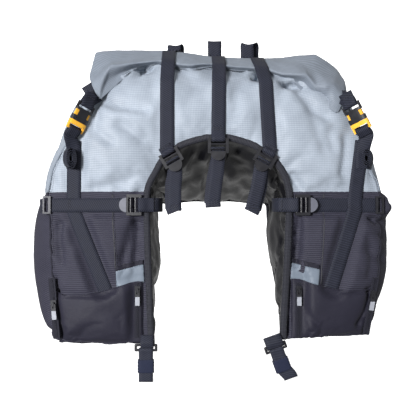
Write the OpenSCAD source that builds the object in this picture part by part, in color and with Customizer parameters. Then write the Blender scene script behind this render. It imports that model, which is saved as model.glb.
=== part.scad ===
// Straddling saddle bag: an inverted-U soft bag with two hanging legs, a rolled top closure,
// webbing with ladder locks and side-release buckles, and zipped leg pockets.
// Millimetres. X runs across the bag, the front faces -Y, Z is up.
// The origin is the middle of the seat face, on the underside of the saddle panel.

/* [Bag] */
// Half of the bag's greatest width
half_width = 332; // [320:1:340]
// Half of the bag's depth from front to back
half_depth = 135; // [130:1:140]
// Height of the crown above the seat face
crown_top = 184; // [180:1:190]
// How far the legs hang below the seat face
leg_bottom = 308; // [300:1:315]
// Height of the seam between the grey crown and the black legs
leg_seam_z = -38; // [-42:1:-34]
// Thickness of the padded fabric walls
wall = 4; // [3:0.5:5]

/* [Arch] */
// Half of the gap between the legs
gap_half = 127; // [124:1:130]
// Slope of the seat face, falling to the back, in degrees
seat_slope = 20.3; // [18:0.1:22]
// Half width of the flat part of the seat face
seat_flat = 78; // [74:1:80]
// Thickness of the vinyl lining
vinyl = 2; // [1.5:0.1:2.2]
// Thickness of the foam sheet under the saddle panel
foam = 6; // [4:0.5:8]

/* [Roll top] */
// Half of the roll's length
roll_half = 247; // [240:1:250]
// Front-to-back size of the rolled collar
roll_deep = 58; // [52:1:60]
// Height of the rolled collar
roll_high = 40; // [36:1:42]

/* [Webbing] */
// Width of all webbing
web_w = 25; // [24:0.5:25.5]
// Thickness of all webbing
web_t = 1.6; // [1.2:0.1:1.7]
// Distance of the outer front straps from the middle
strap_x = 91; // [88:1:94]
// Tilt of the outer front ladder locks, in degrees
lock_tilt = 30; // [25:1:32]
// Height of the webbing band round each leg
band_z = -59; // [-62:1:-57]

/* [Hardware] */
// Width of a ladder lock
lock_w = 37; // [36:0.5:38]
// Thickness of a ladder lock
lock_t = 4.4; // [4:0.1:4.6]
// Width of a side-release buckle
buckle_w = 33; // [32:0.5:34]
// Thickness of a side-release buckle
buckle_t = 10; // [9:0.5:10]
// Tilt of the side-release buckles, in degrees
buckle_tilt = 27; // [24:1:30]
// Turn of the side-release buckles about their own length, in degrees
buckle_turn = 40; // [36:1:44]

/* [Zips] */
// Width of a zip tape
zip_w = 12; // [11:0.5:12.5]
// Length of an outer zip
zip_len = 108; // [100:1:110]

/* [Hidden] */
$fn = 32;
LEFT = -1;
RIGHT = 1;

// Gap left between soft parts that only touch
clear = 0.4;
front_y = -half_depth;
// Planes in front of the bag on which the trim lies, from the fabric outwards
binding_t = 4;
under_web_y = front_y - clear - web_t / 2;
over_web_y = under_web_y - clear - web_t;
// Half width of the part of the arch that belongs to the crown below the leg seams
roof_half = gap_half - 9;
// Height at which the outline of the bag is widest
waist_z = -40;
// Size of the whole, for cutting blocks
big = 900;

// Shape of the front panel: shares of the full height and how far it is drawn in
front_high = 0.82;
front_low = 0.98;
front_inset = 26;
binding_w = 9;

// Roll top
roll_y = -79;
roll_z = crown_top + clear + roll_high / 2;
ear_tip = [205, front_y - 2.4, 122];
ear_r = 2;
ear_start = 150;
stiffener_t = 2;
stiffener_deep = 32;

// Front straps and their locks
bar_r = 2.2;
bar_gap = 0.5;
loop_r = bar_r + bar_gap + web_t / 2;
strap_y = front_y - binding_t - clear - web_t / 2;
lock_y = strap_y - loop_r;
centre_lock_z = 57;
outer_lock_z = 34;
outer_lock_x = 89;
bar_pitch = 8.5;
rail_w = 5.3;
tab_r = 13;
centre_tail_len = 104;
outer_tail_len = 78;
outer_tail_lean = 5.4;

// Leg bands: over the side strap on the left, under it on the right
band_lock_x = 138;
band_lock_y = front_y - 10;
left_hook_x = 304;
right_hook_x = 286;
hook_y = front_y - 6;

// Side-release buckles: the plane where the clip meets the socket
joint_x = 246;
joint_z = 87;
buckle_y = front_y - 8.1 - (buckle_w / 2 - 3) * sin(buckle_turn);
roll_web_y = front_y - 9.2;
socket_len = 24;
socket_bar_z = 32;
clip_base = 8;
clip_bar_z = -15;
buckle_rail_w = 3.2;
prong_len = 22;
window_x = 9.4;
side_x = 256;
side_top = 52;
side_knee = -72;
diagonal_end = [201, -204];
coil_pos = [258, front_y - 15.4, 23];
coil_r = [10, 19];

// Zips
pocket_top = -211;
pocket_t = 3;
left_zip_x = 296;
right_zip_x = 280;
outer_zip_top = -189;
left_zip_lean = 5;
right_zip_lean = 10;
inner_zip_x = 143;
inner_zip_top = -198;
inner_zip_len = 98;
zip_y = front_y - pocket_t - clear;
zip_t = 1.2;
teeth_w = 5;
teeth_t = 1.2;
slider_gap = 0.3;
pull_axis_y = -6.2;
// How far each slider stands below the top of its zip
left_outer_slide = 46;
right_outer_slide = 30;
inner_slide = 12;

// Bottom rings and straps
left_ring_x = 128;
right_ring_x = 100;
right_ring_lean = 20;
bottom_y = front_y - 7.6;
ring_z = -leg_bottom - 8;
ring_w = 36;
ring_h = 9;
wire_r = 2.3;
bottom_len = 57;
keeper_h = 23;
keeper_drop = 28;
keeper_t = 1.6;

// ---- Outlines ----

// Points of a cubic curve from a to d, pulled towards b and c
function curve(a, b, c, d, n = 8) = [for (i = [0:n])
    let (t = i / n, s = 1 - t)
    s * s * s * a + 3 * s * s * t * b + 3 * s * t * t * c + t * t * t * d];

function mirrored(points) = [for (i = [len(points) - 1:-1:0]) [-points[i][0], points[i][1]]];

// A flattened round: between an ellipse and a rectangle
function squircle(rx, ry, n = 32) = [for (i = [0:n - 1])
    let (a = 360 * i / n, c = cos(a), s = sin(a))
    [rx * sign(c) * pow(abs(c), 0.7), ry * sign(s) * pow(abs(s), 0.7)]];

// Right half of the bag's outline seen from the front, from the crown down to the bottom
function half_outline(t) = concat(
    curve([0, crown_top - t], [110, crown_top - t], [185, crown_top - t], [222, 158 - t], 6),
    curve([244 - t, 134 - t], [272 - t, 92], [half_width - 24 - t, 40], [half_width - 8 - t, -20], 5),
    curve([half_width - t, -60], [half_width - t, -130], [half_width - 10 - t, -190],
        [half_width - 24 - t, -250], 5),
    curve([half_width - 28 - t, -272 + t], [298 - t, -leg_bottom + t], [280, -leg_bottom + t],
        [250, -leg_bottom + t], 4),
    [[0, -leg_bottom + t]]);

// The front and back panels are drawn in less towards the bottom of the legs
function draw_in(z) = z > -100 ? 1 : 1 - 0.6 * min(1, (-100 - z) / 150);

// Outline of a slice that reaches the given shares of the full height
function slice_points(high, low, inset, t) = [for (p = half_outline(t))
    [max(0, p[0] - inset * draw_in(p[1])), waist_z + (p[1] - waist_z) * (p[1] > waist_z ? high : low)]];

// One slice of the bag at depth y: how high and how low it reaches, and how far it is drawn in
module slice(y, high, low, inset, t) {
    points = slice_points(high, low, inset, t);
    translate([0, y, 0])
        rotate([90, 0, 0])
        linear_extrude(height = 0.2, center = true)
        polygon(concat(points, mirrored(points)));
}

// The stuffed bag without its arch, drawn in by t
module bag_form(t) {
    hull() {
        slice(front_y + 0.1 + t, front_high, front_low, front_inset, t);
        slice(front_y + 12, 0.93, 1, 12, t);
        slice(front_y + 40, 1, 0.93, 4, t);
        slice(-45, 1, 0.86, 0, t);
        slice(20, 1, 0.68, 0, t);
        slice(80, 0.92, 0.46, 6, t);
        slice(half_depth - 12, 0.78, 0.26, 16, t);
        slice(half_depth - 0.1 - t, 0.62, 0.12, 30, t);
    }
}

// Half of the arch seen along the seat, grown by t
function half_arch(t) = concat(
    curve([seat_flat, t], [seat_flat + 30 + t, t], [gap_half - 8 + t, -50], [gap_half + t, -122], 10),
    [[gap_half + t, -big / 2]]);

// The gap between the legs, grown by t and falling to the back
module arch(t) {
    rotate([-seat_slope, 0, 0])
        rotate([90, 0, 0])
        linear_extrude(height = big, center = true)
        polygon(concat(half_arch(t), mirrored(half_arch(t))));
}

// Everything above or below a level
module above(z) {
    translate([-big / 2, -big / 2, z]) cube([big, big, big]);
}

module below(z) {
    translate([-big / 2, -big / 2, z - big]) cube([big, big, big]);
}

// A web of cloth along a path, seen from its edge: its points are the path moved to each side
function ribbon_side(path, d) = [for (i = [0:len(path) - 1])
    let (a = path[max(0, i - 1)],
        b = path[min(len(path) - 1, i + 1)],
        v = (b - a) / norm(b - a))
    path[i] + d * [-v[1], v[0]]];

module ribbon_outline(path, t) {
    back = ribbon_side(path, -t / 2);
    polygon(concat(ribbon_side(path, t / 2), [for (i = [len(back) - 1:-1:0]) back[i]]));
}

// Webbing whose edge is drawn in the YZ plane
module ribbon_yz(path, w = web_w, t = web_t) {
    rotate([90, 0, 90])
        linear_extrude(height = w, center = true)
        ribbon_outline(path, t);
}

// Webbing whose edge is drawn in the XY plane
module ribbon_xy(path, w = web_w, t = web_t) {
    linear_extrude(height = w, center = true)
        ribbon_outline(path, t);
}

// Points on a round of radius r about c, from angle a to angle b
function round_path(c, r, a, b, n = 10) = [for (i = [0:n])
    let (w = a + (b - a) * i / n)
    c + r * [cos(w), sin(w)]];

// ---- Shells and lining ----

// Puts a right-hand part on the left (-1) or right (1) side
module sided(side) {
    mirror([side < 0 ? 1 : 0, 0, 0]) children();
}

// The padded fabric skin of the whole bag, without the lining of the arch
module skin() {
    difference() {
        bag_form(0);
        bag_form(wall);
        arch(vinyl + clear);
    }
}

// The crown reaches down to the leg seams, and to the back edge of the seat between the legs
module crown_region() {
    above(leg_seam_z + clear / 2);
    translate([-roof_half, -big / 2, -big / 2]) cube([2 * roof_half, big, big]);
}

module leg_region(side) {
    difference() {
        below(leg_seam_z - clear / 2);
        sided(side) translate([roof_half + clear - big, -big / 2, -big]) cube([big, big, big]);
    }
}

module upper_shell() {
    color([0.55, 0.60, 0.66])
    intersection() {
        skin();
        crown_region();
    }
}

module leg_shell(side) {
    color([0.20, 0.19, 0.23])
    intersection() {
        skin();
        leg_region(side);
    }
}

// The glossy sheet that lines the arch
module lining() {
    intersection() {
        bag_form(0);
        difference() {
            arch(vinyl);
            arch(0);
        }
    }
}

module saddle_panel() {
    color([0.06, 0.06, 0.07])
    intersection() {
        lining();
        crown_region();
    }
}

module inner_panel(side) {
    color([0.06, 0.06, 0.07])
    intersection() {
        lining();
        leg_region(side);
    }
}

// Tape round the front edge of the arch
module front_edge_binding() {
    color([0.30, 0.30, 0.32])
    intersection() {
        difference() {
            arch(binding_w);
            arch(0);
        }
        translate([-half_width, front_y - binding_t, 8 - leg_bottom])
            cube([2 * half_width, binding_t, big]);
    }
}

module saddle_foam() {
    color([0.25, 0.25, 0.26])
    intersection() {
        bag_form(wall + clear);
        difference() {
            arch(vinyl + clear + foam);
            arch(vinyl + clear);
        }
    }
}

module packing() {
    color([0.80, 0.78, 0.72])
    difference() {
        bag_form(wall + clear);
        arch(vinyl + foam + 2 * clear);
    }
}

// ---- Roll top ----

module roll_bar(half_len) {
    rotate([90, 0, 90])
        linear_extrude(height = 2 * half_len, center = true)
        polygon(squircle(roll_deep / 2, roll_high / 2));
}

// The drooping end of the roll, down to its tip on the shoulder
module roll_ear() {
    hull() {
        translate([(ear_start + roll_half) / 2, roll_y, roll_z])
            roll_bar((roll_half - ear_start) / 2);
        translate(ear_tip) sphere(r = ear_r);
    }
}

module roll_top() {
    color([0.52, 0.57, 0.64])
    difference() {
        union() {
            translate([0, roll_y, roll_z]) roll_bar(roll_half);
            sided(RIGHT) roll_ear();
            sided(LEFT) roll_ear();
        }
        bag_form(-clear);
        stiffener_block(clear);
    }
}

module stiffener_block(gap) {
    translate([0, roll_y, roll_z])
        cube([2 * (roll_half - 12 + gap), stiffener_deep + 2 * gap, stiffener_t + 2 * gap], center = true);
}

module roll_stiffener() {
    color([0.15, 0.15, 0.16]) stiffener_block(0);
}

// A flat webbing loop standing behind the roll
module top_loop(x) {
    top = crown_top + roll_high;
    color([0.17, 0.17, 0.18])
    translate([x, 0, 0])
        ribbon_yz(concat(
            [[roll_y + 1.4, top + 2], [roll_y + 9, top + 2], [roll_y + 15, top + 5],
                [roll_y + 17.5, top + 12]],
            round_path([roll_y + 19.8, top + 16], 2.3, 180, 0, 6),
            [[roll_y + 22.1, top + 12], [roll_y + 24, top + 4], [roll_y + 29, top - 2],
                [roll_y + 31, top - 10]]));
}

// ---- Pockets, patches and zips ----

// A layer lying on the front panel
module front_layer(t) {
    points = slice_points(front_high, front_low, front_inset, 0);
    translate([0, front_y, 0])
        rotate([90, 0, 0])
        linear_extrude(height = t)
        polygon(concat(points, mirrored(points)));
}

module pocket(side) {
    color([0.16, 0.16, 0.18])
    intersection() {
        front_layer(pocket_t);
        below(pocket_top);
        sided(side) translate([gap_half + binding_w + clear, -big / 2, -big / 2]) cube(big);
    }
}

module reflector(side) {
    inner = gap_half + binding_w + 2;
    color([0.58, 0.63, 0.70])
    sided(side)
        translate([0, front_y, 0])
        rotate([90, 0, 0])
        linear_extrude(height = 0.8)
        polygon([[inner, -165], [180, -174], [178, -204], [inner, -195]]);
}

// Puts a zip part at a place on an outer or inner zip, measured down from the zip's top
module on_outer_zip(side, down = 0) {
    sided(side)
        translate([side == LEFT ? left_zip_x : right_zip_x, zip_y, outer_zip_top])
        rotate([0, side == LEFT ? left_zip_lean : right_zip_lean, 0])
        translate([0, 0, -down])
        children();
}

module on_inner_zip(side, down = 0) {
    sided(side) translate([inner_zip_x, zip_y, inner_zip_top - down]) children();
}

module zip_tape(len) {
    color([0.10, 0.10, 0.11]) {
        translate([-zip_w / 2, -zip_t, -len]) cube([zip_w, zip_t, len]);
        translate([-teeth_w / 2, -zip_t - teeth_t, -len]) cube([teeth_w, teeth_t + 0.1, len]);
    }
}

// A slider that straddles the teeth, with a drilled bridge for the pull
module zip_slider() {
    half_w = teeth_w / 2 + slider_gap;
    plate_y = -zip_t - teeth_t - slider_gap;
    color([0.12, 0.12, 0.13])
    difference() {
        union() {
            translate([-half_w - 2, plate_y - 1.4, -7]) cube([2 * half_w + 4, 1.4, 14]);
            for (s = [LEFT, RIGHT])
                translate([s * (half_w + 1) - 1, plate_y - 1, -7])
                    cube([2, -plate_y + 1 - zip_t - slider_gap, 14]);
            translate([-1.5, pull_axis_y - 2.2, -4]) cube([3, plate_y - 1 - pull_axis_y + 2.2, 8]);
        }
        translate([0, pull_axis_y, 0]) rotate([0, 90, 0]) cylinder(r = 1.4, h = 20, center = true);
    }
}

// A pull whose cross bar runs through the slider's bridge
module zip_pull() {
    color([0.30, 0.30, 0.32])
    translate([0, pull_axis_y, 0]) {
        rotate([0, 90, 0]) cylinder(r = 1, h = 7.6, center = true);
        for (s = [LEFT, RIGHT]) translate([s * 3 - 0.9, -0.9, -8]) cube([1.8, 1.8, 8]);
        translate([-3.9, -0.9, -27]) cube([7.8, 1.8, 20]);
    }
}

// ---- Straps over the crown ----

// The end of a strap, looped round a lock's bar at the origin and sewn to itself above
module strap_end() {
    ribbon_yz(concat(
        [[loop_r, 10]],
        round_path([0, 0], loop_r, 0, -180),
        [[-loop_r, 3], [loop_r - 1.2, 14], [loop_r - 1.2, 20]]));
}

// Moulded lock: a round bar at the origin, two more bars below it, and a half-round tab
module ladder_lock() {
    len = 2.6 * bar_pitch;
    color([0.13, 0.13, 0.14]) {
        for (k = [0:2])
            translate([0, 0, -k * bar_pitch])
                rotate([0, 90, 0])
                cylinder(r = k == 0 ? bar_r : bar_r - 0.2, h = lock_w - rail_w, center = true);
        for (s = [LEFT, RIGHT])
            translate([s * (lock_w - rail_w) / 2 - rail_w / 2, -lock_t / 2, -len - 2])
                cube([rail_w, lock_t, len + 2 + bar_r]);
        translate([-lock_w / 2, -lock_t / 2, -len - 2]) cube([lock_w, lock_t, 3]);
    }
    color([0.55, 0.56, 0.58])
    translate([0, 0.2 - lock_t / 2, -len - 2])
        rotate([90, 0, 0])
        intersection() {
            cylinder(r = tab_r, h = 2.2, center = true);
            translate([-tab_r, -tab_r - 0.1, -2]) cube([2 * tab_r, tab_r + 0.6, 4]);
        }
}

// Places a part on the lock of the left (-1), centre (0) or right (1) front strap
module on_front_lock(side) {
    x = side * outer_lock_x;
    z = side == 0 ? centre_lock_z : outer_lock_z;
    translate([x, lock_y, z]) rotate([0, side * lock_tilt, 0]) children();
}

module front_strap(side) {
    low = (side == 0 ? centre_lock_z : outer_lock_z) + 8;
    top = crown_top + roll_high;
    color([0.17, 0.17, 0.18]) {
        translate([side * strap_x, 0, 0])
            ribbon_yz([[roll_y, top + 2], [-97, top + 1.4], [-106.5, top - 3], [-110.4, top - 13],
                [-110.8, top - 27], [-126, top - 50], [-137.4, top - 71], [strap_y, top - 85],
                [strap_y, low]]);
        on_front_lock(side) strap_end();
    }
}

module front_lock(side) {
    on_front_lock(side) ladder_lock();
}

// The free end: over the lowest bar of the lock and down behind its tab
module strap_tail(side) {
    r = bar_r - 0.2 + bar_gap + web_t / 2;
    short = 14;
    color([0.17, 0.17, 0.18])
    on_front_lock(side)
        translate([0, 0, -2 * bar_pitch]) {
            ribbon_yz(concat(round_path([0, 0], r, 180, 0), [[r, side == 0 ? -centre_tail_len : -short]]));
            if (side != 0)
                translate([0, r - web_t / 2, -short])
                    rotate([0, -side * (lock_tilt - outer_tail_lean), 0])
                    translate([-web_w / 2, 0, -outer_tail_len])
                    cube([web_w, web_t, outer_tail_len + 2]);
        }
}

// ---- Bands round the legs ----

module leg_band(side) {
    y = side == LEFT ? over_web_y : under_web_y;
    edge = half_width + clear + web_t / 2;
    color([0.17, 0.17, 0.18])
    sided(side)
        translate([0, 0, band_z])
        ribbon_xy([[gap_half - 11, -66], [113, -80], [102, -104], [101, -124], [107, -137], [121, -140.6],
            [140, -140.6], [152, y], [294, y], [edge - 27, y], [edge - 20, -131.2], [edge - 11, -124],
            [edge - 3, -95], [edge, -60], [edge, -30]]);
}

module on_band_lock(side) {
    sided(side)
        translate([band_lock_x, band_lock_y, band_z])
        rotate([0, -90, 0])
        children();
}

// Flat hook at the leg's outer corner
module band_hook(side) {
    color([0.08, 0.08, 0.09])
    sided(side)
        translate([side == LEFT ? left_hook_x : right_hook_x, hook_y, band_z])
        difference() {
            cube([14, 3, web_w + 6], center = true);
            translate([1, 0, 0]) cube([7, 4, web_w + 1], center = true);
        }
}

// ---- Side-release buckles ----

module on_buckle(side) {
    sided(side)
        translate([joint_x, buckle_y, joint_z])
        rotate([0, -buckle_tilt, 0])
        rotate([0, 0, -buckle_turn])
        children();
}

// The rails and round bar that carry the webbing on either half of a buckle
module buckle_bar(z) {
    reach = abs(z) + bar_r;
    low = z > 0 ? 0.3 : -reach;
    for (s = [LEFT, RIGHT])
        translate([s * (buckle_w - buckle_rail_w) / 2 - buckle_rail_w / 2, -bar_r, low])
            cube([buckle_rail_w, 2 * bar_r, reach - 0.3]);
    translate([0, 0, z]) rotate([0, 90, 0]) cylinder(r = bar_r, h = buckle_w - buckle_rail_w, center = true);
}

module buckle_socket(side) {
    mouth = [buckle_w - 4, buckle_t - 4.4];
    color([0.07, 0.07, 0.08])
    on_buckle(side)
        difference() {
            union() {
                linear_extrude(height = socket_len)
                    polygon(squircle(buckle_w / 2, buckle_t / 2));
                buckle_bar(socket_bar_z);
            }
            translate([-mouth[0] / 2, -mouth[1] / 2, -1]) cube([mouth[0], mouth[1], prong_len + 1.6]);
            for (s = [LEFT, RIGHT])
                translate([s * (window_x + buckle_w / 2) - buckle_w / 2, -buckle_t, 9])
                    cube([buckle_w, 2 * buckle_t, 10]);
        }
}

// The clip: a base with a webbing bar, two side prongs and a centre guide
module buckle_clip(side) {
    prong_t = buckle_t - 5.2;
    color([0.95, 0.72, 0.15])
    on_buckle(side) {
        translate([0, 0, -clip_base])
            linear_extrude(height = clip_base - 0.3)
            polygon(squircle(buckle_w / 2, buckle_t / 2 - 0.6));
        buckle_bar(clip_bar_z);
        for (s = [LEFT, RIGHT])
            translate([s * (buckle_w / 2 - 5) - 2.5, -prong_t / 2, -2]) cube([5, prong_t, prong_len + 2]);
        translate([-2, -prong_t / 2, -2]) cube([4, prong_t, prong_len - 3]);
    }
}

// Webbing from the end of the roll to the socket
module roll_tab(side) {
    color([0.17, 0.17, 0.18])
    on_buckle(side)
        translate([0, 0, socket_bar_z]) {
            strap_end();
            translate([-web_w / 2, loop_r - web_t / 2, 8]) cube([web_w, web_t, 24]);
        }
}

// The tail of the side strap: from the clip's bar down to the rolled-up end
module strap_roll(side) {
    color([0.17, 0.17, 0.18]) {
        on_buckle(side)
            translate([0, 0, clip_bar_z]) {
                mirror([0, 0, 1]) strap_end();
                translate([-web_w / 2, loop_r - web_t / 2, -16]) cube([web_w, web_t, 9]);
            }
        hull() {
            on_buckle(side)
                translate([-web_w / 2, loop_r - web_t / 2, clip_bar_z - 16]) cube([web_w, web_t, 1]);
            sided(side)
                translate([side_x - web_w / 2, roll_web_y + loop_r - web_t / 2, coil_pos[2] + 26])
                cube([web_w, web_t, 1]);
        }
        sided(side) {
            translate([side_x - web_w / 2, roll_web_y + loop_r - web_t / 2, coil_pos[2]])
                cube([web_w, web_t, 28]);
            translate(coil_pos)
                rotate([90, 0, 90])
                linear_extrude(height = web_w, center = true)
                polygon(squircle(coil_r[0], coil_r[1], 40));
        }
    }
}

// The strap down the leg: straight past the band, then slanting in to the pocket
module side_strap(side) {
    y = side == LEFT ? under_web_y : over_web_y;
    run = [side_x - diagonal_end[0], side_knee - diagonal_end[1]];
    color([0.17, 0.17, 0.18])
    sided(side)
        translate([0, y - web_t / 2, 0]) {
            translate([side_x - web_w / 2, 0, side_knee - 3]) cube([web_w, web_t, side_top - side_knee + 3]);
            translate([side_x, 0, side_knee])
                rotate([0, atan2(run[0], run[1]), 0])
                translate([-web_w / 2, 0, -norm(run)])
                cube([web_w, web_t, norm(run)]);
        }
}

// ---- Bottom rings and straps ----

// Puts a part on the lower wire of a ring; the right ring hangs askew from its upper wire
module on_ring(side) {
    translate([side == LEFT ? -left_ring_x : right_ring_x, bottom_y, ring_z + ring_h])
        rotate([0, side == LEFT ? 0 : -right_ring_lean, 0])
        translate([0, 0, -ring_h])
        children();
}

module bottom_rings() {
    color([0.35, 0.36, 0.38])
    for (s = [LEFT, RIGHT])
        on_ring(s) {
            for (z = [0, ring_h])
                translate([0, 0, z])
                    rotate([0, 90, 0])
                    cylinder(r = wire_r, h = ring_w, center = true);
            for (x = [-ring_w / 2, ring_w / 2]) {
                translate([x, 0, 0]) cylinder(r = wire_r, h = ring_h);
                for (z = [0, ring_h]) translate([x, 0, z]) sphere(r = wire_r);
            }
        }
}

// Outline of the hanging loop round the ring, grown by t from its inner face
module hanging_outline(t) {
    circle(r = wire_r + bar_gap + t);
    translate([-1.2 - t, -bottom_len]) square([2 * (1.2 + t), bottom_len]);
    translate([0, -bottom_len]) circle(r = 1.2 + t);
}

module bottom_strap(side) {
    color([0.14, 0.14, 0.16])
    on_ring(side)
        rotate([90, 0, 90])
        linear_extrude(height = web_w, center = true)
        difference() {
            hanging_outline(web_t);
            hanging_outline(0);
        }
}

// Elastic sleeve that slides on the hanging loop
module keeper(side) {
    inner = [web_w + 2 * clear, 2 * (1.2 + web_t + clear)];
    color([0.22, 0.24, 0.32])
    on_ring(side)
        translate([0, 0, -keeper_drop])
        difference() {
            cube([inner[0] + 2 * keeper_t, inner[1] + 2 * keeper_t, keeper_h], center = true);
            cube([inner[0], inner[1], keeper_h + 2], center = true);
        }
}

upper_shell();
leg_shell(LEFT);  // left_leg_shell
leg_shell(RIGHT);  // right_leg_shell
saddle_panel();
inner_panel(LEFT);  // left_inner_panel
inner_panel(RIGHT);  // right_inner_panel
front_edge_binding();
packing();
saddle_foam();
roll_top();
roll_stiffener();
pocket(LEFT);  // left_pocket
pocket(RIGHT);  // right_pocket
reflector(LEFT);  // left_reflector
reflector(RIGHT);  // right_reflector
on_outer_zip(LEFT) zip_tape(zip_len);  // left_outer_zip
on_inner_zip(LEFT) zip_tape(inner_zip_len);  // left_inner_zip
on_inner_zip(RIGHT) zip_tape(inner_zip_len);  // right_inner_zip
on_outer_zip(RIGHT) zip_tape(zip_len);  // right_outer_zip
on_outer_zip(LEFT, left_outer_slide) zip_slider();  // left_outer_slider
on_inner_zip(LEFT, inner_slide) zip_slider();  // left_inner_slider
on_inner_zip(RIGHT, inner_slide) zip_slider();  // right_inner_slider
on_outer_zip(RIGHT, right_outer_slide) zip_slider();  // right_outer_slider
on_outer_zip(LEFT, left_outer_slide) zip_pull();  // left_outer_pull
on_inner_zip(LEFT, inner_slide) zip_pull();  // left_inner_pull
on_inner_zip(RIGHT, inner_slide) zip_pull();  // right_inner_pull
on_outer_zip(RIGHT, right_outer_slide) zip_pull();  // right_outer_pull
front_strap(LEFT);  // left_front_strap
front_strap(0);  // centre_front_strap
front_strap(RIGHT);  // right_front_strap
front_lock(LEFT);  // left_front_lock
front_lock(0);  // centre_front_lock
front_lock(RIGHT);  // right_front_lock
strap_tail(LEFT);  // left_strap_tail
strap_tail(0);  // centre_strap_tail
strap_tail(RIGHT);  // right_strap_tail
leg_band(LEFT);  // left_leg_band
leg_band(RIGHT);  // right_leg_band
on_band_lock(LEFT) ladder_lock();  // left_band_lock
on_band_lock(RIGHT) ladder_lock();  // right_band_lock
band_hook(LEFT);  // left_band_hook
band_hook(RIGHT);  // right_band_hook
roll_tab(LEFT);  // left_roll_tab
roll_tab(RIGHT);  // right_roll_tab
buckle_socket(LEFT);  // left_buckle_socket
buckle_socket(RIGHT);  // right_buckle_socket
buckle_clip(LEFT);  // left_buckle_clip
buckle_clip(RIGHT);  // right_buckle_clip
side_strap(LEFT);  // left_side_strap
side_strap(RIGHT);  // right_side_strap
strap_roll(LEFT);  // left_strap_roll
strap_roll(RIGHT);  // right_strap_roll
top_loop(-78);  // left_top_loop
top_loop(-6);  // centre_top_loop
top_loop(63);  // right_top_loop
bottom_rings();
bottom_strap(LEFT);  // left_bottom_strap
bottom_strap(RIGHT);  // right_bottom_strap
keeper(LEFT);  // left_keeper
keeper(RIGHT);  // right_keeper
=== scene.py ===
"""Straddling saddle bag: cloth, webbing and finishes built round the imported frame.

Lengths in the design tables below are millimetres in the bag's own frame: X runs across the bag,
the strapped front faces -Y, Z is up, and the origin is the middle of the seat face.
"""

import math

import bmesh
import bpy
import numpy as np
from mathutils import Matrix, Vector, noise as space_noise
from mathutils.bvhtree import BVHTree


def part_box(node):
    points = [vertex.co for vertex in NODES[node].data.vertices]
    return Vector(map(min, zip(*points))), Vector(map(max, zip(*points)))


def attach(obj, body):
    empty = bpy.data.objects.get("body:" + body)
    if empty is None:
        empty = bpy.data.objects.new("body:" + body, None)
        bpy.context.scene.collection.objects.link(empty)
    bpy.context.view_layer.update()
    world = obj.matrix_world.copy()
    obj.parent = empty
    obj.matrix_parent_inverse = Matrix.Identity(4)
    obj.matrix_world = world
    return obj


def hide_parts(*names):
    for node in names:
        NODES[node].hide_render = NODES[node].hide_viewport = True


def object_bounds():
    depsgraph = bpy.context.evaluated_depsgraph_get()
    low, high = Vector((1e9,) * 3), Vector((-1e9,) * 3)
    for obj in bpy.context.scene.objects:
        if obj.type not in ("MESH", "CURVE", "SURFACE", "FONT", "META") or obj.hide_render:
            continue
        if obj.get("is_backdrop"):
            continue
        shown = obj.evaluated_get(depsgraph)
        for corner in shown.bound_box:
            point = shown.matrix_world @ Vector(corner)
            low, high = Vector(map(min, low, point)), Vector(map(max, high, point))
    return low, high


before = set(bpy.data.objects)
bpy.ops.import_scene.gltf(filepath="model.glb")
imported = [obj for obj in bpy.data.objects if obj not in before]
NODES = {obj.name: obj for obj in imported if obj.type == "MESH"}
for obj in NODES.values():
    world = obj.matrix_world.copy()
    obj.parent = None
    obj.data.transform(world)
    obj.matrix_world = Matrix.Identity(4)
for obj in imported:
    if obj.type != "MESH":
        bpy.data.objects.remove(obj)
CAD_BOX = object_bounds()

MM = 0.001
LEFT, RIGHT = -1, 1
SIDE_NAME = {LEFT: "left", RIGHT: "right", 0: "centre"}
WEB_W = 25.0
WEB_T = 1.7
FORWARDS = (0, -1, 0)


# ---------------------------------------------------------------- curves and meshes

def smooth(points, per_span):
    """Points on a Catmull-Rom curve through the given points, per_span to each span."""
    p = np.array(points, float)
    p = np.vstack([2 * p[0] - p[1], p, 2 * p[-1] - p[-2]])
    t = np.linspace(0, 1, per_span, endpoint=False)[:, None]
    spans = []
    for a, b, c, d in zip(p[:-3], p[1:-2], p[2:-1], p[3:]):
        spans.append(0.5 * (2 * b + (c - a) * t + (2 * a - 5 * b + 4 * c - d) * t**2
                            + (3 * b - 3 * c + d - a) * t**3))
    return np.vstack(spans + [p[-2][None]])


def run_length(path):
    """Length along a path at each of its points."""
    step = np.linalg.norm(np.diff(path, axis=0), axis=1)
    return np.concatenate([[0], np.cumsum(step)])


def resample(path, count):
    """The same path with its points evenly spaced."""
    along = run_length(path)
    even = np.linspace(0, along[-1], count)
    return np.stack([np.interp(even, along, path[:, k]) for k in range(path.shape[1])], axis=1)


def ease(x, low, high):
    """0 below low, 1 above high, and smooth between."""
    t = np.clip((np.asarray(x, float) - low) / (high - low), 0, 1)
    return t * t * (3 - 2 * t)


def unit(vectors):
    """The same vectors, one to a row, with length one."""
    return vectors / np.linalg.norm(vectors, axis=-1, keepdims=True)


def new_object(name, verts, faces, uv=None, shade=True):
    """A mesh object from points in millimetres; uv holds one pair per vertex, in metres."""
    mesh = bpy.data.meshes.new(name)
    mesh.from_pydata([tuple(v) for v in np.asarray(verts, float) * MM], [], faces)
    if uv is not None:
        layer = mesh.uv_layers.new(name="UVMap")
        loops = np.zeros(len(mesh.loops), np.int32)
        mesh.loops.foreach_get("vertex_index", loops)
        layer.data.foreach_set("uv", np.asarray(uv, float)[loops].ravel())
    obj = bpy.data.objects.new(name, mesh)
    bpy.context.scene.collection.objects.link(obj)
    if shade:
        mesh.polygons.foreach_set("use_smooth", [True] * len(mesh.polygons))
    mesh.validate()
    mesh.update()
    return obj


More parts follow.
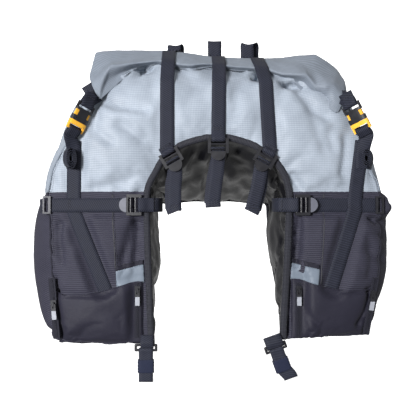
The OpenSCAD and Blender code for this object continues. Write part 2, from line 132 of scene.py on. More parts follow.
def grid_faces(rows, cols, close_rows=False, close_cols=False):
    """Quads of a rows x cols grid of vertices, optionally closed on itself either way."""
    faces = []
    for i in range(rows if close_rows else rows - 1):
        for j in range(cols if close_cols else cols - 1):
            k, m = (i + 1) % rows, (j + 1) % cols
            faces.append((i * cols + j, i * cols + m, k * cols + m, k * cols + j))
    return faces


def tube_faces(rows, cols):
    """Faces of a tube through closed rows, with both ends closed."""
    last = (rows - 1) * cols
    ends = [tuple(range(cols))[::-1], tuple(range(last, last + cols))]
    return grid_faces(rows, cols, close_cols=True) + ends


def face_outwards(obj):
    bm = bmesh.new()
    bm.from_mesh(obj.data)
    bmesh.ops.recalc_face_normals(bm, faces=bm.faces)
    bm.to_mesh(obj.data)
    bm.free()


def modifier(obj, kind, apply, **values):
    """Adds a modifier, and applies it if it is told to."""
    mod = obj.modifiers.new(kind, kind)
    for key, value in values.items():
        setattr(mod, key, value)
    if apply:
        graph = bpy.context.evaluated_depsgraph_get()
        mesh = bpy.data.meshes.new_from_object(obj.evaluated_get(graph))
        obj.modifiers.clear()
        obj.data = mesh


# ---------------------------------------------------------------- materials

def shader(name, color, rough, **sockets):
    """A principled material; returns it with its node tree and shader node."""
    mat = bpy.data.materials.new(name)
    mat.use_nodes = True
    tree = mat.node_tree
    bsdf = tree.nodes["Principled BSDF"]
    bsdf.inputs["Base Color"].default_value = (*color, 1)
    bsdf.inputs["Roughness"].default_value = rough
    for key, value in sockets.items():
        socket = bsdf.inputs[key.replace("_", " ")]
        socket.default_value = value
    return mat, tree, bsdf


def node(tree, kind, inputs=(), **settings):
    n = tree.nodes.new(kind)
    for key, value in settings.items():
        setattr(n, key, value)
    for key, value in dict(inputs).items():
        if isinstance(value, bpy.types.NodeSocket):
            tree.links.new(value, n.inputs[key])
        else:
            n.inputs[key].default_value = value
    return n


def math_node(tree, operation, a, b=0.0, c=0.0):
    return node(tree, "ShaderNodeMath", {0: a, 1: b, 2: c}, operation=operation).outputs[0]


def noise(tree, vector, scale, detail=3.0, rough=0.55):
    return node(tree, "ShaderNodeTexNoise", {"Vector": vector, "Scale": scale, "Detail": detail,
                                             "Roughness": rough}).outputs["Fac"]


def wave(tree, value, pitch):
    """A ripple from 0 to 1 that repeats every pitch metres of value."""
    turns = math_node(tree, "MULTIPLY", value, 2 * math.pi / pitch)
    return math_node(tree, "MULTIPLY_ADD", math_node(tree, "SINE", turns), 0.5, 0.5)


def mix(tree, factor, a, b):
    n = node(tree, "ShaderNodeMix", data_type="RGBA")
    for key, value in (("Factor", factor), ("A", a), ("B", b)):
        socket = [s for s in n.inputs if s.name == key and (key == "Factor" or s.type == "RGBA")][0]
        if isinstance(value, bpy.types.NodeSocket):
            tree.links.new(value, socket)
        else:
            socket.default_value = (*value, 1) if key != "Factor" else value
    return [s for s in n.outputs if s.type == "RGBA"][0]


def bump(tree, bsdf, height, strength, distance=0.0008, below=None):
    inputs = {"Height": height, "Strength": strength, "Distance": distance}
    if below is not None:
        inputs["Normal"] = below
    n = node(tree, "ShaderNodeBump", inputs)
    tree.links.new(n.outputs[0], bsdf.inputs["Normal"])
    return n.outputs[0]


def coordinates(tree):
    """(uv across, uv along, uv vector, object vector), all in metres."""
    tex = node(tree, "ShaderNodeTexCoord")
    split = node(tree, "ShaderNodeSeparateXYZ", {0: tex.outputs["UV"]})
    return split.outputs[0], split.outputs[1], tex.outputs["UV"], tex.outputs["Object"]


def object_coordinates(tree):
    return node(tree, "ShaderNodeTexCoord").outputs["Object"]


def scaled(tree, vector, scale):
    return node(tree, "ShaderNodeMapping", {"Vector": vector, "Scale": scale}).outputs[0]


def uneven_rough(tree, bsdf, patches, spread, least):
    tree.links.new(math_node(tree, "MULTIPLY_ADD", patches, spread, least), bsdf.inputs["Roughness"])


def fine_grain(tree, bsdf, obj):
    bump(tree, bsdf, noise(tree, obj, 700.0, 2.0), 0.3, 0.0002)


def cloth_material(name, dark, light, rough, rib, thread, rib_bump, contrast=0.42, wear=0.18):
    """Woven fabric: ribs across it, finer threads along it, and soft uneven colour."""
    mat, tree, bsdf = shader(name, light, rough, Sheen_Weight=0.06, Sheen_Roughness=0.4,
                             Specular_IOR_Level=0.22)
    u, v, uv, obj = coordinates(tree)
    drift = math_node(tree, "MULTIPLY", noise(tree, obj, 18.0, 2.0), rib * 0.9)
    ribs = wave(tree, math_node(tree, "ADD", v, drift), rib)
    threads = wave(tree, u, thread)
    slubs = noise(tree, scaled(tree, uv, (60, 900, 1)), 1.0, 2.0)
    height = math_node(tree, "MULTIPLY_ADD", threads, 0.35, ribs)
    height = math_node(tree, "MULTIPLY_ADD", slubs, 0.5, height)
    patches = noise(tree, obj, 14.0, 5.0, 0.6)
    tone = math_node(tree, "MULTIPLY_ADD", height, contrast,
                     math_node(tree, "MULTIPLY", patches, wear * 2))
    tree.links.new(mix(tree, tone, dark, light), bsdf.inputs["Base Color"])
    uneven_rough(tree, bsdf, patches, 0.22, rough - 0.11)
    soft = bump(tree, bsdf, noise(tree, obj, 45.0, 4.0), 0.25, 0.003)
    bump(tree, bsdf, height, rib_bump, 0.0006, soft)
    return mat


def vinyl_material():
    """Glossy black sheet with soft creases and a fine grain; the creases' hollows are painted a little
    darker, as painted shade.
    """
    mat, tree, bsdf = shader("vinyl", (0.008, 0.008, 0.010), 0.25, Specular_IOR_Level=0.42)
    obj = object_coordinates(tree)
    creases = noise(tree, scaled(tree, obj, (1, 1, 0.35)), 20.0, 3.0, 0.45)
    grain = noise(tree, obj, 900.0, 2.0)
    # painted shade: the colour is darker where the crease height is low, in the hollows of the bump
    # folds
    black = mix(tree, creases, (0.002, 0.002, 0.003), (0.010, 0.010, 0.013))
    tree.links.new(black, bsdf.inputs["Base Color"])
    uneven_rough(tree, bsdf, creases, 0.2, 0.16)
    folds = bump(tree, bsdf, creases, 0.3, 0.005)
    bump(tree, bsdf, grain, 0.12, 0.0004, folds)
    return mat


def webbing_material(name, dark, light, twill=0.0034):
    """Flat webbing: slanting twill lines across it, and fine threads along it."""
    mat, tree, bsdf = shader(name, light, 0.62, Sheen_Weight=0.03, Specular_IOR_Level=0.14)
    u, v, _, obj = coordinates(tree)
    slant = math_node(tree, "MULTIPLY_ADD", u, 0.55, v)
    lines = wave(tree, slant, twill)
    cross = wave(tree, u, 0.0016)
    height = math_node(tree, "MULTIPLY_ADD", cross, 0.35, lines)
    patches = noise(tree, obj, 60.0, 3.0)
    tone = math_node(tree, "MULTIPLY_ADD", height, 0.7,
                     math_node(tree, "MULTIPLY_ADD", patches, 0.3, -0.12))
    tree.links.new(mix(tree, tone, dark, light), bsdf.inputs["Base Color"])
    uneven_rough(tree, bsdf, patches, 0.2, 0.5)
    bump(tree, bsdf, height, 0.5, 0.0005)
    return mat


def moulded_material(name, dark, light, rough, **sockets):
    """Moulded plastic or painted metal: fine grain, slight colour drift, rubbed patches."""
    mat, tree, bsdf = shader(name, light, rough, **sockets)
    obj = object_coordinates(tree)
    patches = noise(tree, obj, 90.0, 4.0)
    tree.links.new(mix(tree, patches, dark, light), bsdf.inputs["Base Color"])
    uneven_rough(tree, bsdf, patches, 0.2, rough - 0.1)
    fine_grain(tree, bsdf, obj)
    return mat


MATERIALS = {
    "crown": cloth_material("crown_fabric", (0.10, 0.118, 0.146), (0.325, 0.366, 0.426), 0.5, 0.0038,
                            0.0044, 0.25, contrast=0.24, wear=0.5),
    "roll": cloth_material("roll_fabric", (0.065, 0.078, 0.097), (0.262, 0.297, 0.352), 0.5, 0.0034,
                           0.0023, 0.35, contrast=0.26, wear=0.32),
    "leg": cloth_material("leg_nylon", (0.006, 0.006, 0.011), (0.044, 0.043, 0.066), 0.6, 0.0034,
                          0.0017, 0.8),
    "pocket": cloth_material("pocket_fabric", (0.006, 0.0058, 0.011), (0.021, 0.020, 0.035), 0.55,
                             0.0014, 0.0014, 0.3),
    "hem": cloth_material("hem_tape", (0.006, 0.006, 0.010), (0.020, 0.0195, 0.032), 0.62, 0.0022,
                          0.0022, 0.6),
    "binding": cloth_material("binding_tape", (0.007, 0.007, 0.010), (0.034, 0.035, 0.046), 0.6,
                              0.0026, 0.0026, 1.0),
    "reflective": cloth_material("reflective_patch", (0.10, 0.12, 0.152), (0.18, 0.214, 0.262), 0.42,
                                 0.0012, 0.0012, 0.2),
    "vinyl": vinyl_material(),
    "webbing": webbing_material("webbing", (0.0015, 0.0018, 0.0035), (0.031, 0.034, 0.053)),
    "loop_webbing": webbing_material("loop_webbing", (0.008, 0.009, 0.014), (0.032, 0.035, 0.054)),
    "elastic": webbing_material("elastic", (0.007, 0.009, 0.021), (0.022, 0.027, 0.056), 0.0022),
    "zip": webbing_material("zip_tape", (0.007, 0.007, 0.011), (0.026, 0.026, 0.038), 0.0016),
    "thread": moulded_material("thread", (0.010, 0.010, 0.014), (0.035, 0.035, 0.045), 0.6),
    "black_plastic": moulded_material("black_plastic", (0.004, 0.004, 0.006), (0.016, 0.016, 0.021),
                                      0.32, Specular_IOR_Level=0.55),
    "yellow_plastic": moulded_material("yellow_plastic", (0.78, 0.36, 0.02), (0.92, 0.50, 0.05), 0.35),
    "dark_metal": moulded_material("dark_metal", (0.008, 0.008, 0.011), (0.026, 0.026, 0.032), 0.38,
                                   Metallic=0.3),
}


def finish_with(obj, key, slot=None):
    obj.data.materials.clear()
    obj.data.materials.append(MATERIALS[key])


def add_piece(obj, look, slot, body="bag", nodes=()):
    """Finishes a new closed piece: its faces, look, body and the CAD nodes that it replaces; slot is not
    used.
    """
    face_outwards(obj)
    finish_with(obj, look, slot)
    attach(obj, body)
    if nodes:
        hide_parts(*nodes)


# ---------------------------------------------------------------- the stuffed body

# Stations run from the foot of the left leg, over the crown, to the foot of the right leg.
FRONT_Y = -135.0
# Front edge of the arch: (x, z) on the front plane.
ARCH_FRONT = [(-115, -306), (-117.5, -250), (-120.5, -170), (-123, -90), (-122.5, -35), (-108, -2),
              (-88, 29), (-52, 49), (0, 59), (50, 48.5), (86, 29.5), (110, 2), (123, -35),
              (122.5, -90), (119, -170), (115, -240), (112, -298)]
# Seam between the front panel and the gusset: (x, z, y).
FRONT_SEAM = [(-283, -304, -131), (-293, -250, -132), (-296, -170, -132), (-300, -90, -132),
              (-302, -36, -131), (-280, 40, -128), (-232, 130, -124), (-125, 196, -108), (0, 190, -106),
              (125, 184, -110), (222, 130, -124), (262, 50, -128), (288, -36, -131), (292, -90, -132),
              (288, -170, -132), (280, -240, -132), (266, -290, -132)]
# Fullest line of the gusset.
GUSSET = [(-299, -300, -112), (-322, -250, -92), (-337, -170, -70), (-339, -95, -55), (-327, -36, -40),
          (-296, 48, -40), (-240, 150, -40), (-125, 214, -46), (0, 210, -46), (125, 206, -46),
          (232, 150, -40), (277, 48, -40), (306, -36, -40), (315, -95, -55), (314, -170, -70),
          (298, -240, -88), (269, -290, -111)]
# Seam between the gusset and the back panel.
REAR_SEAM = [(-280, -302, -95), (-300, -245, -40), (-315, -165, 60), (-318, -90, 110), (-312, -36, 128),
             (-270, 40, 130), (-205, 110, 120), (-110, 142, 112), (0, 146, 112), (110, 142, 112),
             (200, 110, 120), (255, 40, 130), (292, -36, 128), (296, -90, 110), (292, -165, 60),
             (277, -240, -40), (262, -290, -95)]
# Rear edge of the arch.
ARCH_REAR = [(-124, -302, -100), (-125, -245, -45), (-125, -170, 70), (-124, -90, 125), (-120, -55, 133),
             (-100, -52, 135), (-75, -50, 135), (-40, -47, 135), (0, -48, 135), (40, -47, 135),
             (75, -50, 135), (100, -52, 135), (121, -55, 133), (124, -90, 125), (124, -170, 70),
             (122, -240, -45), (118, -292, -100)]
SPAN = 12
FRONT_N, GUSSET_N, REAR_N, VINYL_N = 34, 26, 22, 28
REAR_COLUMN = FRONT_N + GUSSET_N
VINYL_COLUMN = REAR_COLUMN + REAR_N
# The legs end, and the crown begins, at these rows.
LEG_STATION = 4
LOW_ROW, HIGH_ROW = LEG_STATION * SPAN, (len(ARCH_FRONT) - 1 - LEG_STATION) * SPAN
CAP_RINGS = 4
CAP_DROP = 8.0


def rail(points):
    """A rail in x, y, z from a design row of (x, z) or (x, z, y)."""
    return smooth([(p[0], p[2] if len(p) > 2 else FRONT_Y, p[1]) for p in points], SPAN)


def across_rails(*rails, count):
    """Rows of points on a smooth curve over the rails; the last rail's own points are left out."""
    return np.stack([resample(smooth(row, 12), count + 1)[:-1] for row in np.stack(rails, axis=1)])


def fold_noise(points, scale, seed=0.0):
    """Smooth noise from -1 to 1 at points in millimetres; scale is the size of a fold."""
    return np.array([space_noise.noise(Vector((x / scale + seed, y / scale, z / scale)))
                     for x, y, z in points])


def body_grid():
    """Rows of points round the bag's section: front, gusset, rear and the arch's lining."""
    inner, seam, outer = rail(ARCH_FRONT), rail(FRONT_SEAM), rail(GUSSET)
    back, inner_back = rail(REAR_SEAM), rail(ARCH_REAR)
    rows = len(inner)
    t = np.linspace(0, 1, FRONT_N, endpoint=False)
    station = np.arange(rows) / SPAN
    crown = ease(station, 4, 6) * ease(-station, -12, -10)
    puff = 5.0 + 5.0 * crown
    front = inner[:, None] + (seam - inner)[:, None] * t[None, :, None]
    front[:, :, 1] -= puff[:, None] * np.sin(np.pi * t)[None] ** 0.7
    gusset = across_rails(seam, outer, back, count=GUSSET_N)
    t = np.linspace(0, 1, REAR_N, endpoint=False)
    rear = back[:, None] + (inner_back - back)[:, None] * t[None, :, None]
    rear[:, :, 1] += 8 * np.sin(np.pi * t)[None]
    t = np.linspace(0, 1, VINYL_N, endpoint=False)
    vinyl = inner_back[:, None] + (inner - inner_back)[:, None] * t[None, :, None]
    return np.concatenate([front, gusset, rear, vinyl], axis=1)


def cap_leg(grid, row):
    """Points of the rings that close the foot of a leg, and of its middle."""
    ring = grid[row]
    middle = ring.mean(axis=0)
    rings = []
    for k in range(1, CAP_RINGS + 1):
        share = 1 - k / (CAP_RINGS + 1)
        p = middle + (ring - middle) * share
        p[:, 2] -= CAP_DROP * (1 - share ** 2)
        rings.append(p)
    end = middle - np.array([0, 0, CAP_DROP])
    return np.concatenate(rings + [end[None]])


class Body:
    """The bag's whole skin as one mesh, with the row and column of each face."""

    def __init__(self):
        self.grid = body_grid()
        self.rows, self.cols = self.grid.shape[:2]
        flat = self.grid.reshape(-1, 3)
        caps = [cap_leg(self.grid, 0), cap_leg(self.grid, self.rows - 1)]
        self.points = np.concatenate([flat, *caps])
        self.faces = grid_faces(self.rows, self.cols, close_cols=True)
        self.face_row = [i for i in range(self.rows - 1) for _ in range(self.cols)]
        self.face_col = [j for _ in range(self.rows - 1) for j in range(self.cols)]
        start = self.rows * self.cols
        for row, base in ((0, start), (self.rows - 1, start + len(caps[0]))):
            previous = [row * self.cols + j for j in range(self.cols)]
            for k in range(CAP_RINGS):
                ring = [base + k * self.cols + j for j in range(self.cols)]
                for j in range(self.cols):
                    m = (j + 1) % self.cols
                    self.faces.append((previous[j], ring[j], ring[m], previous[m]))
                previous = ring
            end = base + CAP_RINGS * self.cols
            for j in range(self.cols):
                self.faces.append((previous[j], end, previous[(j + 1) % self.cols]))
            added = self.cols * (CAP_RINGS + 1)
            self.face_row += [row if row == 0 else row - 1] * added
            self.face_col += [0] * added
        deep = 0.6 * (self.points[:, 1] - FRONT_Y)
        self.uv = np.stack([self.points[:, 0] + deep * np.sign(self.points[:, 0]),
                            self.points[:, 2] + deep], axis=1) * MM

    def pieces(self):
        """Face lists of the six sewn pieces, by side and kind."""
        out = {}
        for face, row, col in zip(self.faces, self.face_row, self.face_col):
            side = "left" if row < LOW_ROW else "right" if row >= HIGH_ROW else "crown"
            kind = "vinyl" if col >= VINYL_COLUMN else "fabric"
            out.setdefault((side, kind), []).append(face)
        return out


def make_piece(name, points, faces, uv):
    """A mesh of the given faces only, without the vertices it doesn't use."""
    used = sorted({v for f in faces for v in f})
    place = {v: k for k, v in enumerate(used)}
    return new_object(name, points[used], [tuple(place[v] for v in f) for f in faces], uv[used])


def distance_to_path(x, z, path):
    """Distance in the front view from each (x, z) to a line through the path's points."""
    best = np.full(len(x), 1e9)
    for (ax, az), (bx, bz) in zip(path[:-1], path[1:]):
        dx, dz = bx - ax, bz - az
        t = np.clip(((x - ax) * dx + (z - az) * dz) / (dx * dx + dz * dz), 0, 1)
        best = np.minimum(best, np.hypot(x - ax - t * dx, z - az - t * dz))
    return best


# Only points in front of these depths are pressed, or creased and hollowed.
PRESS_Y, CREASE_Y = -95, -60


def press(points, path, half, y, reach=16.0):
    """Brings the front of the bag to depth y under a strap, fading out beside it."""
    front = points[:, 1] < PRESS_Y
    far = distance_to_path(points[:, 0], points[:, 2], path)
    weight = (1 - ease(far, half, half + reach)) * front
    points[:, 1] += weight * (y - points[:, 1])


# Lines in the front view that straps follow: (x, z)
STRAP_LINE = {LEFT: [(-89, 205), (-91, 150), (-91, 42)], 0: [(3, 205), (1, 150), (0, 65)],
              RIGHT: [(76, 205), (86, 150), (91, 42)]}
SIDE_LINE = {LEFT: [(-256, 55), (-257, -50), (-254, -78), (-199, -216)],
             RIGHT: [(256, 55), (243, -50), (240, -78), (199, -212)]}
BAND_Z = -59.0
STRAP_Y = -140.2
# The inner zips stand this far from the middle; sheets under them come no further forward.
INNER_ZIP_X, INNER_ZIP_BACK = 143, -137.7
# Depths of two webs that cross, and half the width that a web presses flat.
UNDER_Y, OVER_Y = -136.2, -138.2
PRESS_HALF = 13
# Creases of the stuffed cloth: line in the front view, depth (a ridge is negative) and half-width.
CREASES = [([(-206, 127), (-181, 118), (-156, 113), (-127, 106)], 7, 9),
           ([(-212, 109), (-181, 101), (-130, 99), (-108, 111)], -4, 10),
           ([(-216, 128), (-217, 99), (-226, 73)], 6, 8),
           ([(-215, 73), (-204, 61), (-189, 52)], 3.5, 7),
           ([(-174, 85), (-153, 68), (-136, 56)], 4, 8),
           ([(-150, -10), (-190, -24), (-230, -30)], 3, 9),
           ([(147, 146), (174, 110), (192, 99)], 7, 11),
           ([(165, 108), (174, 75), (187, 40)], 3, 9),
           ([(229, 57), (226, 21), (222, -4)], 6, 8),
           ([(131, -7), (143, -29)], 5, 7),
           ([(90, 129), (97, 84), (102, 40)], 2.5, 9),
           ([(206, 80), (196, 66), (204, 40)], 3, 7),
           ([(-142, -42), (-146, -90), (-166, -158)], 8, 8),
           ([(-139, -90), (-143, -130), (-146, -160)], 7, 7),
           ([(-152, -100), (-163, -158)], -4, 5),
           ([(-286, -80), (-284, -134), (-279, -160)], 6, 6),
           ([(-262, -82), (-280, -96)], 5, 5),
           ([(-248, -78), (-238, -90)], 7, 6),
           ([(-292, -190), (-288, -240), (-280, -290)], 5, 5),
           ([(142, -70), (140, -120), (137, -165)], 10, 7),
           ([(251, -66), (270, -80), (289, -88)], 12, 6),
           ([(268, -120), (276, -150), (270, -185)], 4, 8),
           ([(272, -215), (262, -250), (250, -270)], 6, 7),
           ([(128, -200), (130, -250), (124, -285)], 9, 7),
           ([(-290, -214), (-243, -220), (-182, -208)], 4, 5),
           ([(187, -206), (235, -214), (270, -210)], 4, 5)]
CREASE_GAIN = 1.5
# Gaps under the lip of the roll: middle (x, z), half-width, half-height and depth.
GAPS = [((-134, 188), 17, 11, 34), ((134, 157), 19, 9, 32), ((76, 171), 12, 17, 32)]


def crease(points, normals, path, depth, half):
    """Sinks the cloth along a line in the front view."""
    far = distance_to_path(points[:, 0], points[:, 2], path)
    weight = np.exp(-(far / half) ** 2) * (points[:, 1] < CREASE_Y)
    points -= normals * (depth * weight)[:, None]


def hollow(points, middle, wide, high, depth):
    """Pushes a patch of the cloth back, under the lip of the roll."""
    far = np.hypot((points[:, 0] - middle[0]) / wide, (points[:, 2] - middle[1]) / high)
    points[:, 1] += depth * (1 - ease(far, 0.6, 1.05)) * (points[:, 1] < CREASE_Y)


def mesh_normals(points, faces):
    """Vertex normals of a closed mesh, pointing outwards."""
    obj = new_object("normals", points, faces)
    face_outwards(obj)
    out = np.zeros(len(points) * 3)
    obj.data.vertices.foreach_get("normal", out)
    bpy.data.objects.remove(obj)
    return out.reshape(-1, 3)


def settle(points, faces, held, frames, pressure, slack, cap):
    """Cloth simulation of a stuffed skin.

    held gives how firmly each point is sewn down, 0 to 1; no point ends further than cap
    (millimetres) from where it began.
    """
    obj = new_object("settling", points, faces)
    face_outwards(obj)
    group = obj.vertex_groups.new(name="held")
    for k, w in enumerate(held):
        if w > 0:
            group.add([k], float(w), "REPLACE")
    mod = obj.modifiers.new("Cloth", "CLOTH")
    cloth = mod.settings
    cloth.quality = 5
    cloth.mass = 0.25
    cloth.tension_stiffness = cloth.compression_stiffness = 25
    cloth.shear_stiffness = 12
    cloth.bending_stiffness = 0.4
    cloth.tension_damping = cloth.compression_damping = 8
    cloth.vertex_group_mass = "held"
    cloth.pin_stiffness = 2.0
    cloth.use_pressure = True
    cloth.uniform_pressure_force = pressure
    cloth.shrink_min = -slack
    cloth.effector_weights.gravity = 0
    mod.collision_settings.use_collision = False
    mod.point_cache.frame_start, mod.point_cache.frame_end = 1, frames
    scene = bpy.context.scene
    scene.frame_start, scene.frame_end = 1, frames
    for frame_no in range(1, frames + 1):
        scene.frame_set(frame_no)
    graph = bpy.context.evaluated_depsgraph_get()
    result = obj.evaluated_get(graph).data
    out = np.zeros(len(points) * 3)
    result.vertices.foreach_get("co", out)
    out = out.reshape(-1, 3) / MM
    bpy.data.objects.remove(obj)
    scene.frame_set(1)
    move = out - points
    far = np.linalg.norm(move, axis=1)
    return points + move * (cap * np.tanh(far / cap) / np.maximum(far, 1e-6))[:, None]


body = Body()


def held_body():
    """How firmly each point of the skin is held: the arch edges firmly, the seams and hems partly."""
    weight = np.zeros((body.rows, body.cols))
    weight[:, [0, VINYL_COLUMN]] = 1
    weight[:, [1, -1]] = 0.6
    weight[:, FRONT_N] = 0.35
    weight[:, REAR_COLUMN] = 0.25
    for rows, least in (([LOW_ROW, HIGH_ROW], 0.45), ([0, -1], 0.5)):
        weight[rows, :] = np.maximum(weight[rows, :], least)
    flat = np.zeros(len(body.points))
    flat[:weight.size] = weight.ravel()
    return flat


skin_points = body.points.copy()
folds = fold_noise(skin_points, 90, 3.0) * 2.5 + fold_noise(skin_points, 28, 9.0) * 1.0
on_grid = np.arange(len(skin_points)) < body.rows * body.cols
across_vinyl = (np.arange(len(skin_points)) % body.cols - VINYL_COLUMN) / VINYL_N
puckers = fold_noise(skin_points * [1, 0.4, 0.3], 22, 2.0) * 9
puckers += fold_noise(skin_points * [1, 0.6, 0.5], 11, 6.0) * 2
folds += puckers * on_grid * ease(across_vinyl, 0, 0.3) * ease(-across_vinyl, -1, -0.85)
skin_points += mesh_normals(skin_points, body.faces) * folds[:, None]
skin_points = settle(skin_points, body.faces, held_body(), frames=26, pressure=3.0, slack=0.035,
                     cap=12.0)
normals = mesh_normals(skin_points, body.faces)
for path, depth, half in CREASES:
    crease(skin_points, normals, path, CREASE_GAIN * depth, half)
for middle, wide, high, depth in GAPS:
    hollow(skin_points, middle, wide, high, depth)
for side in (LEFT, 0, RIGHT):
    press(skin_points, STRAP_LINE[side][1:], PRESS_HALF, STRAP_Y + 1.4)
for side, y in ((LEFT, UNDER_Y), (RIGHT, OVER_Y)):
    press(skin_points, SIDE_LINE[side][:-1] + [(side * 205, -202)], PRESS_HALF, y + 1.1)
for side, y in ((LEFT, OVER_Y), (RIGHT, UNDER_Y)):
    press(skin_points, [(side * 130, BAND_Z), (side * 296, BAND_Z)], PRESS_HALF, y + 1.1)
    press(skin_points, [(side * 256, BAND_Z - 12), (side * 256, BAND_Z + 12)], 12, UNDER_Y + 1.1, 8)
    press(skin_points, [(side * INNER_ZIP_X, -194), (side * INNER_ZIP_X, -300)], 9, FRONT_Y - 0.4, 14)
skin = BVHTree.FromPolygons([Vector(p) for p in skin_points], body.faces)

SHELLS = {("crown", "fabric"): ("crown_shell", "crown", "crown_fabric", ("upper_shell", "packing")),
          ("crown", "vinyl"): ("saddle_vinyl", "vinyl", "vinyl", ("saddle_panel", "saddle_foam")),
          ("left", "fabric"): ("left_leg_fabric", "leg", "leg_nylon", ("left_leg_shell",)),
          ("right", "fabric"): ("right_leg_fabric", "leg", "leg_nylon", ("right_leg_shell",)),
          ("left", "vinyl"): ("left_inner_vinyl", "vinyl", "vinyl", ("left_inner_panel",)),
          ("right", "vinyl"): ("right_inner_vinyl", "vinyl", "vinyl", ("right_inner_panel",))}
for key, faces in body.pieces().items():
    name, look, slot, nodes = SHELLS[key]
    obj = make_piece(name, skin_points, faces, body.uv)
    finish_with(obj, look, slot)
    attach(obj, "bag")
    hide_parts(*nodes)


# ---------------------------------------------------------------- the rolled closure

# Stations from the left end to the right, each from the ridge down the front: ridge, crease,
# lip, inner face and lower edge, as (x, z, y).
FLAP = [[(-228, 231, -74), (-234, 174, -112), (-228, 159, -124), (-221, 145, -132), (-214, 133, -138)],
        [(-218, 234, -72), (-215, 189, -108), (-210, 173, -126), (-210, 146, -136), (-211, 128, -140)],
        [(-199, 235, -72), (-195, 204, -104), (-192, 192, -133), (-200, 166, -119), (-208, 128, -139)],
        [(-178, 235, -72), (-175, 207, -104), (-173, 192, -131), (-182, 179, -110), (-188, 150, -126)],
        [(-157, 235, -73), (-154, 209, -105), (-153, 195, -129), (-157, 190, -107), (-161, 179, -119)],
        [(-139, 235, -73), (-136, 210, -105), (-135, 197, -127), (-137, 196, -105), (-140, 196, -105)],
        [(-122, 234, -74), (-120, 212, -105), (-119, 199, -127), (-119, 198, -105), (-119, 197, -105)],
        [(-106, 234, -74), (-105, 213, -105), (-104, 201, -123), (-105, 197, -109), (-105, 195, -112)],
        [(-78, 232, -75), (-77, 211, -105), (-77, 196, -123), (-77, 192, -109), (-77, 190, -114)],
        [(-50, 229, -76), (-50, 208, -106), (-50, 192, -125), (-50, 189, -110), (-50, 184, -116)],
        [(-29, 225, -76), (-30, 206, -104), (-30, 196, -121), (-30, 193, -108), (-28, 189, -114)],
        [(-8, 222, -76), (-10, 205, -104), (-10, 196, -121), (-10, 194, -108), (-10, 192, -113)],
        [(22, 220, -77), (20, 203, -104), (19, 192, -122), (19, 189, -109), (19, 186, -114)],
        [(46, 219, -77), (44, 203, -104), (43, 190, -123), (43, 187, -109), (43, 184, -114)],
        [(71, 219, -77), (68, 202, -105), (66, 188, -124), (67, 185, -108), (67, 184, -112)],
        [(97, 219, -76), (93, 202, -106), (91, 184, -129), (94, 179, -107), (95, 175, -115)],
        [(122, 221, -74), (117, 199, -108), (114, 174, -133), (116, 174, -107), (115, 173, -109)],
        [(147, 224, -73), (140, 196, -110), (137, 173, -137), (137, 168, -111), (136, 163, -115)],
        [(170, 227, -72), (160, 190, -112), (158, 173, -141), (156, 158, -115), (152, 146, -121)],
        [(188, 229, -72), (177, 182, -116), (175, 151, -136), (175, 139, -117), (173, 128, -127)],
        [(212, 213, -74), (197, 172, -120), (191, 153, -143), (191, 133, -123), (191, 117, -135)],
        [(229, 197, -78), (212, 167, -123), (205, 157, -136), (205, 128, -136), (202, 108, -139)],
        [(239, 175, -88), (228, 153, -121), (221, 139, -134), (213, 121, -138), (208, 104, -140)],
        [(238, 152, -104), (232, 143, -122), (226, 131, -133), (219, 117, -137), (213, 105, -139)]]
FLAP_SPAN = 8
FLAP_RING = 7


def softened(grid, rounds):
    """The grid with its creases rounded a little, both ways."""
    for _ in range(rounds):
        grid[1:-1] = (grid[:-2] + 2 * grid[1:-1] + grid[2:]) / 4
        grid = (np.roll(grid, 1, axis=1) + 2 * grid + np.roll(grid, -1, axis=1)) / 4
    return grid


def flap_sections():
    """Closed sections of the rolled collar, from its left end to its right, with crisp folds."""
    stations = np.array([[(x, y, z) for x, z, y in row] for row in FLAP], float)
    ridge, lip, edge = stations[:, 0], stations[:, 2], stations[:, 4]
    under = edge + [0, 9, 7]
    inner = lip + [0, 24, 4]
    back = ridge + [0, 0, -26]
    back[:, 1] = -46
    top_back = ridge + [0, 15, -2]
    ring = np.concatenate([stations, np.stack([under, inner, back, top_back], axis=1)], axis=1)
    rows = np.arange((len(FLAP) - 1) * FLAP_SPAN + 1) / FLAP_SPAN
    low = np.minimum(rows.astype(int), len(FLAP) - 2)
    share = (rows - low)[:, None, None]
    ring = ring[low] * (1 - share) + ring[low + 1] * share
    share = np.linspace(0, 1, FLAP_RING, endpoint=False)[None, None, :, None]
    after = np.roll(ring, -1, axis=1)
    grid = (ring[:, :, None] * (1 - share) + after[:, :, None] * share).reshape(len(rows), -1, 3)
    return softened(grid, 3)


def closed_tube(name, sections, uv=None):
    """A tube through closed sections, with its ends closed."""
    return new_object(name, sections.reshape(-1, 3), tube_faces(*sections.shape[:2]), uv)


def make_flap():
    sections = flap_sections()
    rows, cols = sections.shape[:2]
    flat = sections.reshape(-1, 3)
    centre = np.repeat(sections.mean(axis=1), cols, axis=0)
    out = unit(flat - centre)
    bumps = fold_noise(flat, 34, 21.0) * 1.6 + fold_noise(flat, 13, 5.0) * 0.8
    flat = flat + out * bumps[:, None]
    around = np.tile(np.linspace(0, 230, cols), rows)
    uv = np.stack([flat[:, 0], around], axis=1) * MM
    flap = closed_tube("rolled_closure", flat.reshape(rows, cols, 3), uv)
    add_piece(flap, "roll", "roll_fabric", nodes=["roll_top", "roll_stiffener"])
    return flap


flap = make_flap()


# ---------------------------------------------------------------- webbing

